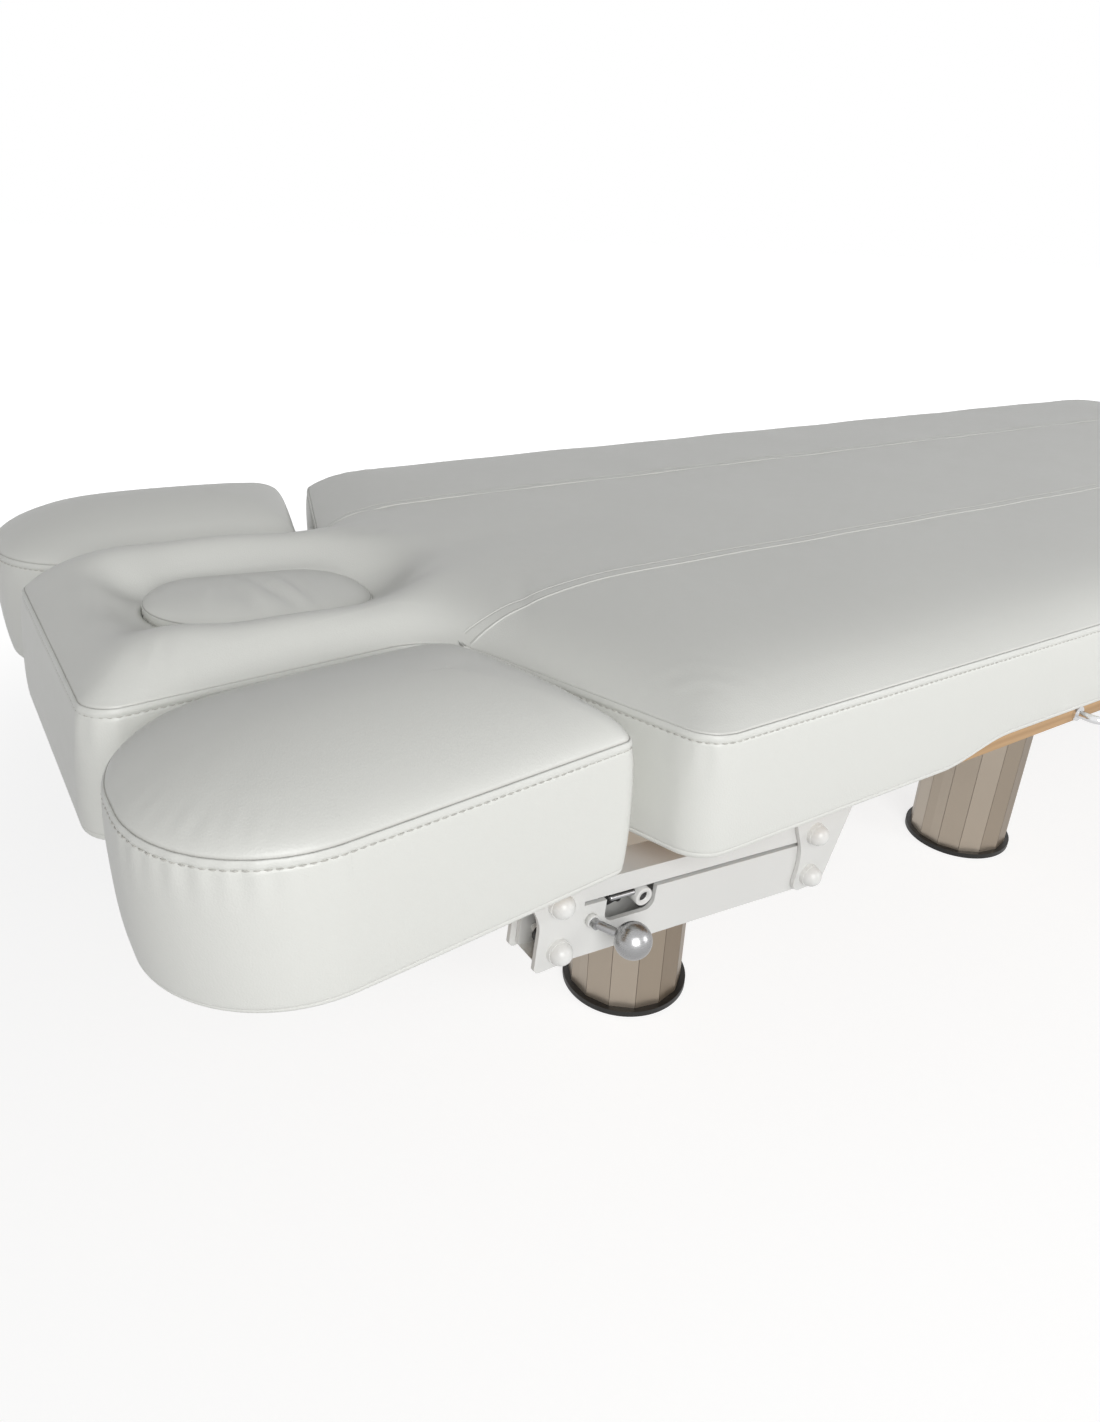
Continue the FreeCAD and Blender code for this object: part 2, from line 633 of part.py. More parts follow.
def head_plate(end):
    """Square plate on the moving tube, bolted under the cross tubes."""
    half = size("head_plate / 2")
    blank = block("head_plate_blank_" + end, ("head_plate", "head_plate", "head_plate_thickness"),
                  Vector(COLUMN_X[end] - half, -half, PLATE_BOTTOM))
    spots = bolt_spots(end)
    holes = bolt_holes("head_plate_" + end, spots, PLATE_BOTTOM)
    node("head_plate_" + end, cut("head_plate_" + end, blank, holes))
    for number, spot in enumerate(spots):
        seat = spot + UP * PLATE_BOTTOM
        shank = rod(f"bolt_shank_{end}_{number}", "bolt_diameter", "bolt_grip", seat, UP)
        under = Placement(seat - UP * size("bolt_head"), Rotation())
        head = primitive("Prism", f"bolt_head_{end}_{number}", under, Circumradius="bolt_corner",
                         Height="bolt_head")
        column_bolts.append(fuse(f"bolt_{end}_{number}", [shank, head]))


def drive(end, seat):
    """Gearbox with its guide tube, the motor beside it and the rod that lifts the head plate."""
    back = Vector(1, 0, 0)
    gear = block("gear_" + end, ("gear_length", "gear_width", "gear_height"),
                 seat + Vector(-size("gear_front"), -size("gear_width / 2"), 0))
    guide = rod("guide_" + end, "guide_diameter", COLUMN_RISE + " - gear_height - guide_clearance",
                seat + UP * size("gear_height"), UP)
    bore = rod("ram_bore_" + end, "ram_diameter + 2 * running_gap", COLUMN_RISE + " - guide_clearance",
               seat + UP * size("bore_floor"), UP)
    node("lift_gearbox_" + end, cut("lift_gearbox_" + end, fuse("lift_blank_" + end, [gear, guide]), [bore]))
    motor = rod("lift_motor_" + end, "motor_diameter", "motor_length",
                seat + back * size("motor_offset") + UP * size("gear_height"), UP)
    node("lift_motor_" + end, motor)
    start = seat + UP * size("bore_floor + ram_lift")
    length = COLUMN_RISE + " - bore_floor - ram_lift"
    node("lift_rod_" + end, rod("lift_rod_" + end, "ram_diameter", length, start, UP))


def control_box():
    """Drive control under the deck, with its mains inlet and handset socket on the foot side."""
    corner = Vector(station("control_station - control_length / 2"), -size("control_width / 2"),
                    DECK_BOTTOM - size("control_height"))
    case = plate("control_box", "XY_Plane",
                 (("0", "0", "control_radius"), ("control_length", "0", "control_radius"),
                  ("control_length", "control_width", "control_radius"),
                  ("0", "control_width", "control_radius")),
                 "control_height")
    node("control_box", moved(case, Placement(corner, Rotation())))
    wall = corner + Vector(size("control_length"), size("control_width / 2"), size("control_height / 2"))
    shell = block("inlet_shell", ("inlet_depth", "inlet_width", "inlet_height"),
                  wall - Vector(0, size("port_offset / 2 + inlet_width / 2"), size("inlet_height / 2")))
    mouth = block("inlet_mouth",
                  ("inlet_depth", "inlet_width - 2 * inlet_wall", "inlet_height - 2 * inlet_wall"),
                  shell.Placement.Base + Vector(1, 1, 1) * size("inlet_wall"))
    node("mains_inlet", cut("mains_inlet", shell, [mouth]))
    seat = wall + Vector(0, size("port_offset"), 0)
    ring = rod("port_ring", "port_diameter", "port_depth", seat, Vector(1, 0, 0))
    bore = rod("port_bore", "port_diameter - 2 * inlet_wall", "port_depth",
               seat + Vector(size("inlet_wall"), 0, 0), Vector(1, 0, 0))
    node("handset_socket", cut("handset_socket", ring, [bore]))


# Towel rails

def towel_rail(name, side):
    """Bent tube on two round feet on the bare deck edge."""
    out = Vector(0, side, 0)
    middle = DECK_TOP - size("deck_thickness / 2")
    edge = size("bed_width / 2 - deck_inset")
    foot_depth = size("towel_flange_depth")
    bend = size("towel_bend")
    start = Vector(station("towel_station"), side * edge, middle)
    finish = start + Vector(size("towel_length"), 0, 0)
    parts = []
    for number, (root, way) in enumerate(((start, 1), (finish, -1))):
        along = Vector(way, 0, 0)
        towel_feet.append(rod(f"towel_foot_{name}_{number}", "towel_flange", "towel_flange_depth", root, out))
        parts.append(rod(f"towel_leg_{name}_{number}", "towel_diameter",
                         "towel_standoff - towel_bend - towel_flange_depth", root + out * foot_depth, out))
        centre = root + out * (size("towel_standoff") - bend) + along * bend
        corner = primitive("Torus", f"towel_corner_{name}_{number}",
                           Placement(centre, Rotation(along * -1, out, along.cross(out) * -1, "XYZ")),
                           Radius1="towel_bend", Radius2="towel_diameter / 2")
        corner.Angle3 = 90
        parts.append(corner)
    parts.append(rod("towel_bar_" + name, "towel_diameter", "towel_length - 2 * towel_bend",
                     start + out * size("towel_standoff") + Vector(bend, 0, 0), Vector(1, 0, 0)))
    node("towel_rail_" + name, fuse("towel_rail_" + name, parts))


# Armrest linkage

TILT = math.radians(size("link_tilt"))
BED_PIVOT = Vector(station("pivot_station"), 0, size("seam_height - armrest_depth - pivot_drop"))
ARM_PIVOT = BED_PIVOT + Vector(-math.cos(TILT), 0, math.sin(TILT)) * size("link_length")
ARM_PLATE_TOP = size("seam_height - armrest_depth")
LINK_WIDTH = "bracket_width - 2 * sheet_metal - 2 * cheek_gap"
PIN_HOLE = "pin_diameter + 2 * pin_gap"


def outer_face(side):
    """Y of the outer face of an arm bracket."""
    return side * size("bed_width / 2 - link_inset")


def high_face(side, inside):
    """Y of the upper face, along +Y, of a piece that lies a distance inside the bracket's outer face."""
    outer = outer_face(side)
    return outer + size("bracket_width") - inside if side < 0 else outer - inside


def bracket(name, side, pivot, rise, outline):
    """Two cheeks and a top plate bent from one sheet, with two pivot holes, and the tool that hollows it."""
    holes = (("0", "0", PIN_HOLE), ("0", "-pivot_spacing", PIN_HOLE))
    blank = plate(name + "_blank", "XZ_Plane", outline, "bracket_width", holes)
    moved(blank, Placement(Vector(pivot.x, high_face(side, 0), pivot.z), Rotation()))
    reach = "(pivot_drop + pivot_spacing + cheek_below) * 2"
    low_corner = Vector(pivot.x - size(reach), high_face(side, size("bracket_width - sheet_metal")),
                        pivot.z - size(reach))
    hollow = block(name + "_hollow", (f"2 * {reach}", "bracket_width - 2 * sheet_metal",
                                      f"{reach} + {rise} - sheet_metal"), low_corner)
    return blank, hollow


def bed_screw_spots(side):
    """Screw positions of a bed bracket."""
    reach = size("bed_screw_reach")
    return screw_spots(side, BED_PIVOT.x, (-reach, reach))


def arm_screw_spots(side):
    """Screw positions of an armrest bracket."""
    return screw_spots(side, ARM_PIVOT.x, (-size("arm_screw_front"), size("arm_screw_back")))


def screw_spots(side, x, offsets):
    """Two rows of two screws about the middle of a bracket, at height 0."""
    middle = outer_face(side) - side * size("bracket_width / 2")
    half = size("screw_spread / 2")
    return [Vector(x + offset, middle + way * half, 0) for offset in offsets for way in (-1, 1)]


def screw_holes(name, spots, seat):
    """Drills for wood screws through a bracket's top plate and into the wood on it."""
    depth = "sheet_metal + screw_depth + 2"
    start = UP * (seat - size("sheet_metal") - 1)
    return [rod(f"{name}_screw_hole_{number}", "screw_diameter + 2 * pin_gap", depth, spot + start, UP)
            for number, spot in enumerate(spots)]


def screws(name, spots, seat):
    """Wood screws with flat heads under a bracket's top plate."""
    made = []
    for number, spot in enumerate(spots):
        under = spot + UP * (seat - size("sheet_metal"))
        shank = rod(f"{name}_shank_{number}", "screw_diameter", "sheet_metal + screw_depth", under, UP)
        head = rod(f"{name}_head_{number}", "screw_head", "screw_head_depth",
                   under - UP * size("screw_head_depth"), UP)
        made.append(fuse(f"{name}_{number}", [shank, head]))
    return made


def pivot_bolts(name, side, pivot):
    """Two pivot pins, each with a domed cap on both cheeks."""
    parts = []
    outward = Vector(0, side, 0)
    for number, drop in enumerate((0, size("pivot_spacing"))):
        middle = Vector(pivot.x, outer_face(side) - side * size("bracket_width / 2"), pivot.z - drop)
        half = size("bracket_width / 2")
        start = middle - outward * (half + size("cap_bore"))
        length = "bracket_width + 2 * cap_bore"
        parts.append(rod(f"{name}_pin_{number}", "pin_diameter", length, start, outward))
        for face, way in enumerate((outward, outward * -1)):
            parts.append(pivot_cap(f"{name}_cap_{number}_{face}", middle + way * half, way))
    return group(name, parts)


def pivot_cap(name, seat, way):
    """Flanged dome with a blind bore for the pin's end."""
    flange = rod(name + "_flange", "cap_flange", "cap_flange_depth", seat, way)
    top = Placement(seat + way * size("cap_flange_depth"), Rotation(UP, way))
    dome = primitive("Sphere", name + "_dome", top, Radius="cap_dome / 2")
    dome.Angle1 = 0
    bore = rod(name + "_bore", PIN_HOLE, "cap_bore + pin_gap + 1", seat - way, way)
    return cut(name, fuse(name + "_blank", [flange, dome]), [bore])


def link(name, above, below, web_on_top, more_holes=()):
    """Channel-section link in its own tilted frame: X runs back from the arm pivot, Z is square to it."""
    back = "link_length + link_end"
    outline = (("-link_end", f"-{below}", "link_radius"), (back, f"-{below}", "link_radius"),
               (back, above, "link_radius"), ("-link_end", above, "link_radius"))
    holes = (("0", "0", PIN_HOLE), ("link_length", "0", PIN_HOLE)) + tuple(more_holes)
    blank = plate(name + "_blank", "XZ_Plane", outline, LINK_WIDTH, holes)
    web = size("sheet_metal")
    height = f"{above} + {below} - sheet_metal + 1"
    bottom = -size(below) - 1 if web_on_top else web - size(below)
    hollow = block(name + "_hollow",
                   ("link_length + 2 * link_end + 2", LINK_WIDTH + " - 2 * sheet_metal", height),
                   Vector(-size("link_end") - 1, -size(LINK_WIDTH) + web, bottom))
    return blank, hollow


def link_place(side, pivot):
    """Placement that tilts a link and sets it between the cheeks of its brackets."""
    inside = size("sheet_metal + cheek_gap")
    origin = Vector(pivot.x, high_face(side, inside), pivot.z)
    return Placement(origin, Rotation(Vector(0, 1, 0), math.degrees(TILT)))


def linkage(name, side):
    """One armrest's brackets, links, pivots, board, lock and lever."""
    rise = "pivot_drop + armrest_depth - foam_depth - deck_thickness"
    foot = "-pivot_spacing - cheek_below"
    bed_outline = (("-bed_plate_front", rise),
                   ("-bed_waist_front", "-bed_waist_drop", "bed_waist_radius"),
                   ("-bed_cheek_front", foot, "cheek_radius"), ("bed_cheek_back", foot, "cheek_radius"),
                   ("bed_plate_back", rise))
    blank, hollow = bracket("bed_bracket_" + name, side, BED_PIVOT, rise, bed_outline)
    drills = screw_holes("bed_bracket_" + name, bed_screw_spots(side), DECK_BOTTOM)
    node("bed_bracket_" + name, cut("bed_bracket_cut_" + name, blank, [hollow] + drills))
    node("bed_pivot_bolts_" + name, pivot_bolts("bed_pivot_bolts_" + name, side, BED_PIVOT))
    bed_screws.extend(screws("bed_screws_" + name, bed_screw_spots(side), DECK_BOTTOM))

    arm_rise = "pivot_drop - link_length * sin(link_tilt)"
    arm_outline = (("-arm_plate_front", arm_rise),
                   ("-arm_waist_front", "-arm_waist_drop", "arm_waist_radius"),
                   ("-arm_cheek_front", foot, "cheek_toe_radius"), ("arm_cheek_back", foot, "cheek_radius"),
                   ("arm_knee_back", "arm_knee_rise - pivot_spacing", "cheek_radius"),
                   ("arm_plate_back", arm_rise))
    blank, hollow = bracket("arm_bracket_" + name, side, ARM_PIVOT, arm_rise, arm_outline)
    drills = screw_holes("arm_bracket_" + name, arm_screw_spots(side), ARM_PLATE_TOP)
    node("arm_bracket_" + name, cut("arm_bracket_cut_" + name, blank, [hollow] + drills))
    node("arm_pivot_bolts_" + name, pivot_bolts("arm_pivot_bolts_" + name, side, ARM_PIVOT))
    arm_screws = screws("arm_screws_" + name, arm_screw_spots(side), ARM_PLATE_TOP)
    node("arm_screws_" + name, group("arm_screws_" + name, arm_screws))
    depth = size("armrest_depth")
    board = shaped("arm_board_blank_" + name,
                   slab(armrest_corners(side), size("armrest_board_inset"), -depth,
                        size("armrest_board_depth") - depth))
    drills = screw_holes("arm_board_" + name, arm_screw_spots(side), ARM_PLATE_TOP)
    node("armrest_board_" + name, cut("armrest_board_" + name, board, drills))

    blank, hollow = link("upper_link_" + name, "upper_above", "upper_below", True)
    upper = cut("upper_link_cut_" + name, blank, [hollow])
    node("upper_link_" + name, moved(upper, link_place(side, ARM_PIVOT)))

    low_pivot = ARM_PIVOT - UP * size("pivot_spacing")
    shaft_hole = ("lever_back", "lever_rise", "shaft_diameter + 2 * pin_gap")
    blank, hollow = link("lower_link_" + name, "lower_above", "lower_below", False, (shaft_hole,))
    place = link_place(side, low_pivot)
    lower = cut("lower_link_cut_" + name, blank, [hollow, lock_window(name, side)])
    node("lower_link_" + name, moved(lower, place))
    lever(name, side, place)
    lock_sector(name, side, low_pivot)


def lock_window(name, side):
    """Window through the outer cheek of the lower link, open at the top, in the link's frame."""
    outer = -size(LINK_WIDTH) - 1 if side < 0 else -size("sheet_metal") - 1
    deep = "sheet_metal + 2"
    edge = Vector(size("slot_start"), outer, size("slot_rise"))
    radius = size("slot_radius")
    corners = [rod(f"window_corner_{name}_{number}", "2 * slot_radius", deep,
                   edge + Vector(x, 0, radius), Vector(0, 1, 0))
               for number, x in enumerate((radius, size("slot_length") - radius))]
    middle = block("window_middle_" + name,
                   ("slot_length - 2 * slot_radius", deep, "lower_above - slot_rise + 1"),
                   edge + Vector(radius, 0, 0))
    mouth = block("window_mouth_" + name,
                  ("slot_length", deep, "lower_above - slot_rise - slot_radius + 1"), edge + UP * radius)
    return fuse("window_" + name, corners + [middle, mouth])


def lever(name, side, place):
    """Lever shaft with its lock cam and bent-out rod, and the ball on the rod, in the link's frame."""
    outward = Vector(0, side, 0)
    width = size(LINK_WIDTH)
    inner_y, outer_y = (0, -width) if side < 0 else (-width, 0)
    axis = Vector(size("lever_back"), 0, size("lever_rise"))
    shaft = rod("shaft_" + name, "shaft_diameter", LINK_WIDTH + " + shaft_reach",
                axis + Vector(0, inner_y, 0), outward)
    towards_pivot = Vector(-axis.x, 0, -axis.z).normalize()
    middle = -width / 2 - side * size("lock_width / 2")
    cam = rod("cam_" + name, "cam_diameter", "lock_width",
              axis + towards_pivot * size("cam_offset") + Vector(0, middle, 0), outward)
    knuckle = axis + Vector(0, outer_y, 0) + outward * (size("shaft_reach") - size("shaft_diameter / 2"))
    ball_centre = axis + Vector(size("ball_back"), outer_y + side * size("ball_out"), -size("ball_drop"))
    way = (ball_centre - knuckle).normalize()
    sideways = "ball_out - shaft_reach + shaft_diameter / 2"
    stem = rod("stem_" + name, "lever_diameter",
               f"sqrt(ball_back ^ 2 + ({sideways}) ^ 2 + ball_drop ^ 2) - ball_diameter / 2 + ball_bore",
               knuckle, way)
    end = primitive("Sphere", "knuckle_" + name, Placement(knuckle, Rotation()), Radius="shaft_diameter / 2")
    node("release_lever_" + name, moved(fuse("release_lever_" + name, [shaft, cam, stem, end]), place))
    ball = primitive("Sphere", "ball_" + name, Placement(ball_centre, Rotation()), Radius="ball_diameter / 2")
    socket = rod("ball_socket_" + name, "lever_diameter + 2 * pin_gap", "ball_bore + 1",
                 ball_centre - way * (size("ball_diameter / 2") + 1), way)
    node("lever_ball_" + name, moved(cut("lever_ball_" + name, ball, [socket]), place))


def lock_sector(name, side, pivot):
    """Friction sector keyed on the lower arm pivot, round that pivot, which the lock cam presses."""
    middle = outer_face(side) - side * size("bracket_width / 2")
    reach = "sqrt(lever_back ^ 2 + lever_rise ^ 2) - cam_diameter / 2 - cam_offset - lock_gap"
    near = Vector(pivot.x, middle + size("lock_width / 2"), pivot.z)
    across = Vector(0, -1, 0)
    turn = Rotation(Vector(1, 0, 0), UP, across, "XYZ")
    place = Placement(near, turn.multiply(Rotation(UP, SECTOR_START)))
    fan = primitive("Cylinder", "sector_fan_" + name, place, Radius=reach, Height="lock_width")
    fan.Angle = SECTOR_SWEEP
    hub = rod("sector_hub_" + name, "sector_hub", "lock_width", near, across)
    bore = rod("sector_bore_" + name, PIN_HOLE, "lock_width + 2", near - across, across)
    node("lock_sector_" + name, cut("lock_sector_" + name, fuse("sector_blank_" + name, [fan, hub]), [bore]))


# Build, check and write

mattress()
face_plug()
deck_board()
frame()
for end in ENDS:
    column(end)
control_box()
for name, side in SIDES:
    armrest_cushion(name, side)
    towel_rail(name, side)
    linkage(name, side)
node("column_bolts", group("column_bolts", column_bolts))
node("towel_rail_feet", group("towel_rail_feet", towel_feet))
node("bed_screws", group("bed_screws", bed_screws))
doc.recompute()

for thing in doc.Objects:
    if "Invalid" in thing.State or "Error" in thing.State:
        raise RuntimeError(f"{thing.Label} did not build: {thing.State}")
for thing in nodes:
    if thing.Shape.isNull() or not thing.Shape.isValid() or not thing.Shape.Solids:
        raise RuntimeError(f"{thing.Label} has no valid solid")
os.makedirs("parts", exist_ok=True)
for thing in nodes:
    thing.Shape.exportStep(f"parts/{thing.Label}.step")
    box = thing.Shape.BoundBox
    print(f"{thing.Label}: {len(thing.Shape.Solids)} solid(s), {thing.Shape.Volume / 1000:.1f} cm3,"
          f" x {box.XMin:.1f} {box.XMax:.1f} y {box.YMin:.1f} {box.YMax:.1f} z {box.ZMin:.1f} {box.ZMax:.1f}")
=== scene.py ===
# %% [markdown]
# # Electric massage bed
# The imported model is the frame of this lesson. Its hard parts already have their true shape and place, in
# metres, so they only need finishes. The padded parts are made anew, because a plain solid has no seams,
# no stitches and no folds.

# %% Load the frame
import json
import math

import bmesh
import bpy
import numpy as np
from mathutils import Matrix, Vector


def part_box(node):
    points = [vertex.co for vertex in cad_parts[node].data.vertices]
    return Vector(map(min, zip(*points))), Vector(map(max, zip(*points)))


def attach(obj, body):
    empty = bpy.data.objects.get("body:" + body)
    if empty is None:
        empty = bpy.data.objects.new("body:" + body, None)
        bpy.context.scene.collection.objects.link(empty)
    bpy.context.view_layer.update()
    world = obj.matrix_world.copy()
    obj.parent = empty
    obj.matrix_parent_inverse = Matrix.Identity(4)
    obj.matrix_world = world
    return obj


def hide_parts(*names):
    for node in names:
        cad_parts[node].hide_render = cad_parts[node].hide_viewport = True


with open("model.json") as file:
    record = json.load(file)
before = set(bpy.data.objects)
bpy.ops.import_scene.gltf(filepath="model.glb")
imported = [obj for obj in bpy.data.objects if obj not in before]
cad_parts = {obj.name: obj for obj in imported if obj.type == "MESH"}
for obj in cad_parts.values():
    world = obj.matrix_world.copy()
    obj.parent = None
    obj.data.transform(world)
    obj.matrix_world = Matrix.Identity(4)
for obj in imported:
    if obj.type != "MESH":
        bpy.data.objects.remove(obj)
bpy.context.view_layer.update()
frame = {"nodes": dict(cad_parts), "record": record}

MM = 0.001
SIDES = (("right", -1), ("left", 1))

# %% [markdown]
# ## Outlines
# An upholsterer starts from a flat pattern: straight edges joined by round corners. Here it is a list of
# corners, each with its radius. Walking along it with short steps in the bends and long ones on the
# straights puts the points where the cover has to curve.

# %% Round the corners of a pattern
ARC_POINTS = 41


def unit(vectors):
    """Vectors made one long."""
    return vectors / np.linalg.norm(vectors, axis=-1, keepdims=True)


def rounded_path(corners, closed):
    """Polyline through corners (x, y, radius).

    A bend is the arc that touches both edges: it starts radius / tan(half angle) before the corner, and its
    points are the start and end spokes mixed by the sines of the angle that is left and done.
    """
    corners = np.asarray(corners, float)
    pieces = []
    for number, (x, y, radius) in enumerate(corners):
        here = np.array([x, y])
        if radius == 0:
            pieces.append(here[None])
            continue
        back = unit(corners[number - 1, :2] - here)
        ahead = unit(corners[(number + 1) % len(corners), :2] - here)
        half = math.acos(np.clip(back @ ahead, -1, 1)) / 2
        reach = radius / math.tan(half)
        middle = here + unit(back + ahead) * radius / math.sin(half)
        sweep = math.pi - 2 * half
        share = np.linspace(0, 1, ARC_POINTS)[:, None]
        first = here + back * reach - middle
        last = here + ahead * reach - middle
        arc = np.sin((1 - share) * sweep) * first + np.sin(share * sweep) * last
        pieces.append(middle + arc / math.sin(sweep))
    path = np.vstack(pieces)
    return np.vstack([path, path[:1]]) if closed else path


square = rounded_path(((0, 0, 0.25), (1, 0, 0.25), (1, 1, 0.25), (0, 1, 0.25)), True)
print("a square of side 1 with round corners has", len(square), "points")


# %% Walk along a pattern
def travelled(path):
    """Distance from the start to each point of a path."""
    return np.concatenate([[0], np.cumsum(np.linalg.norm(np.diff(path, axis=0), axis=1))])


def at_ways(wanted, way, path):
    """Points of a path at wanted distances, interpolated for each coordinate."""
    return np.stack([np.interp(wanted, way, column) for column in path.T], axis=1)


def paced(path, straight, bend):
    """Points on a polyline, spaced by `straight` on long runs and by `bend` on the short runs of an arc."""
    runs = np.linalg.norm(np.diff(path, axis=0), axis=1)
    steps = np.concatenate([[0], np.cumsum(runs / np.where(runs > 2 * bend, straight, bend))])
    return at_ways(np.linspace(0, steps[-1], int(round(steps[-1])) + 1), steps, path)


def outward(path, closed):
    """Unit normals to the right of a path: the line between two neighbours, turned by a quarter."""
    if closed:
        along = np.roll(path[:-1], -1, axis=0) - np.roll(path[:-1], 1, axis=0)
        along = np.vstack([along, along[:1]])
    else:
        along = np.gradient(path, axis=0)
    return unit(np.stack([along[:, 1], -along[:, 0]], axis=1))


print("its length is", round(float(travelled(square)[-1]), 3))

# %% [markdown]
# ## Meshes from grids
# Every new piece below is a table of points: one direction runs along a seam and the other across it. It
# becomes quads by joining each point to its neighbours. Where two edges of a table meet, their doubles are
# merged, so that each pad is one closed skin.

# %% Turn tables of points into pieces
def grid_quads(shape, first=0, wrap=False):
    """Quads between neighbouring lines and rows of a table stored line by line."""
    lines, rows = shape[:2]
    line = np.arange(lines if wrap else lines - 1)[:, None]
    row = np.arange(rows - 1)[None]
    following = (line + 1) % lines
    corners = (line * rows + row, following * rows + row, following * rows + row + 1, line * rows + row + 1)
    return first + np.stack(np.broadcast_arrays(*corners), axis=-1).reshape(-1, 4)


def close_skin(mesh, weld):
    """Merges points nearer than a weld distance and turns faces outwards."""
    skin = bmesh.new()
    skin.from_mesh(mesh)
    bmesh.ops.remove_doubles(skin, verts=skin.verts, dist=weld)
    bmesh.ops.dissolve_degenerate(skin, edges=skin.edges, dist=1e-7)
    bmesh.ops.recalc_face_normals(skin, faces=skin.faces)
    skin.to_mesh(mesh)
    skin.free()


def in_scene(name, data):
    """New object at the origin, linked to the scene."""
    made = bpy.data.objects.new(name, data)
    bpy.context.scene.collection.objects.link(made)
    return made


def piece(name, table, body, material, weld=0.0, painted_shade=None, faces=None):
    """Smooth mesh object on a body, with the quads of its table unless it has faces of its own.

    A number per point of painted shade, 1 at the bottom of a seam, is stored as an attribute, which the
    finish reads to darken the colour there.
    """
    mesh = bpy.data.meshes.new(name)
    mesh.from_pydata(table.reshape(-1, 3).tolist(), [], faces or grid_quads(table.shape).tolist())
    if painted_shade is not None:
        mesh.attributes.new("painted_shade", "FLOAT", "POINT").data.foreach_set("value", painted_shade.ravel())
    if weld:
        close_skin(mesh, weld)
    mesh.shade_smooth()
    mesh.materials.append(material)
    made = in_scene(name, mesh)
    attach(made, body)
    print(name, len(mesh.vertices), "points", len(mesh.polygons), "faces on", body)
    return made


def on_side(points, sign):
    """Points of the right side, on the side that a sign stands for."""
    return points * [1, -sign, 1]


def rows_between(first, last, shares):
    """Rows of points from one line of points to another, at shares of the way."""
    shares = np.atleast_2d(shares)[..., None]
    return first[:, None] * (1 - shares) + last[:, None] * shares


print("a table of 4 lines and 3 rows has", len(grid_quads((4, 3))), "quads")

# %% [markdown]
# ## Finishes
# A finish is more than a colour. Each one below adds what a hand or an eye would find on the real surface:
# grain in the leatherette, a faint orange peel in the paint, brush lines in the metal, growth lines in the
# wood. Effects that several finishes share are node groups, placed in each material with its own values.
# The leatherette's colour also darkens along its seams and grooves, which is painted shade.

# %% Short words for shader nodes
def add_node(tree, kind, settings=None, **inputs):
    """New shader node with settings, its sockets filled with numbers or joined to others."""
    made = tree.nodes.new("ShaderNode" + kind)
    for key, value in (settings or {}).items():
        setattr(made, key, value)
    for key, value in inputs.items():
        socket = made.inputs[int(key[1:])] if key[0] == "_" else made.inputs[key.replace("_", " ")]
        if isinstance(value, bpy.types.NodeSocket):
            tree.links.new(value, socket)
        else:
            socket.default_value = value
    return made


def sums(tree, operation, first, second=0.0):
    """Output of a math node."""
    return add_node(tree, "Math", {"operation": operation}, _0=first, _1=second).outputs[0]


def between(tree, mask, low, spread):
    """A low value plus a mask times a spread."""
    return sums(tree, "ADD", low, sums(tree, "MULTIPLY", mask, spread))


def mixed(tree, share, first, second):
    """Colour between two, by a share."""
    return add_node(tree, "Mix", {"data_type": "RGBA"}, _0=share, _6=first, _7=second).outputs[2]


def object_spot(tree):
    """Place of a point in the piece's own coordinates."""
    return add_node(tree, "TexCoord").outputs["Object"]


def new_group(name, takes, gives):
    """Empty shader node group with named inputs and outputs, each of a kind."""
    group = bpy.data.node_groups.new(name, "ShaderNodeTree")
    for way, sockets in (("INPUT", takes), ("OUTPUT", gives)):
        for label, kind in sockets.items():
            group.interface.new_socket(label, in_out=way, socket_type="NodeSocket" + kind)
    return group, group.nodes.new("NodeGroupInput").outputs, group.nodes.new("NodeGroupOutput").inputs


def place_group(tree, group, **inputs):
    """A group in a material, with its named inputs filled."""
    return add_node(tree, "Group", {"node_tree": group}, **inputs).outputs


print("shader nodes to choose from", sum("ShaderNode" in kind for kind in dir(bpy.types)))

# %% Shared effects
drift, taken, given = new_group("tone_drift", {"Color": "Color", "Scale": "Float", "Amount": "Float"},
                                {"Color": "Color", "Mask": "Float"})
cloud = add_node(drift, "TexNoise", Vector=object_spot(drift), Scale=taken["Scale"], Detail=3.0,
                 Roughness=0.55).outputs["Fac"]
gain = between(drift, sums(drift, "SUBTRACT", cloud, 0.5), 1.0, taken["Amount"])
toned = add_node(drift, "VectorMath", {"operation": "SCALE"}, _0=taken["Color"], Scale=gain).outputs[0]
drift.links.new(toned, given["Color"])
drift.links.new(cloud, given["Mask"])

grain, taken, given = new_group("pebble_grain", {"Pebble": "Float", "Soft": "Float"},
                                {"Height": "Float", "Mask": "Float"})
spot = object_spot(grain)
pebble = add_node(grain, "TexVoronoi", {"feature": "SMOOTH_F1"}, Vector=spot, Scale=taken["Pebble"],
                  Smoothness=0.6).outputs["Distance"]
soft = add_node(grain, "TexNoise", Vector=spot, Scale=taken["Soft"], Detail=2.0).outputs["Fac"]
grain.links.new(between(grain, pebble, soft, 0.6), given["Height"])
grain.links.new(soft, given["Mask"])

brush, taken, given = new_group("brush_lines", {"Stretch": "Vector", "Low": "Float", "High": "Float"},
                                {"Height": "Float", "Roughness": "Float"})
lines = add_node(brush, "VectorMath", {"operation": "MULTIPLY"}, _0=object_spot(brush), _1=taken["Stretch"])
streak = add_node(brush, "TexNoise", Vector=lines.outputs[0], Scale=1.0, Detail=3.0).outputs["Fac"]
spread = sums(brush, "SUBTRACT", taken["High"], taken["Low"])
brush.links.new(streak, given["Height"])
brush.links.new(between(brush, streak, taken["Low"], spread), given["Roughness"])
print("shared effects", [group.name for group in bpy.data.node_groups])


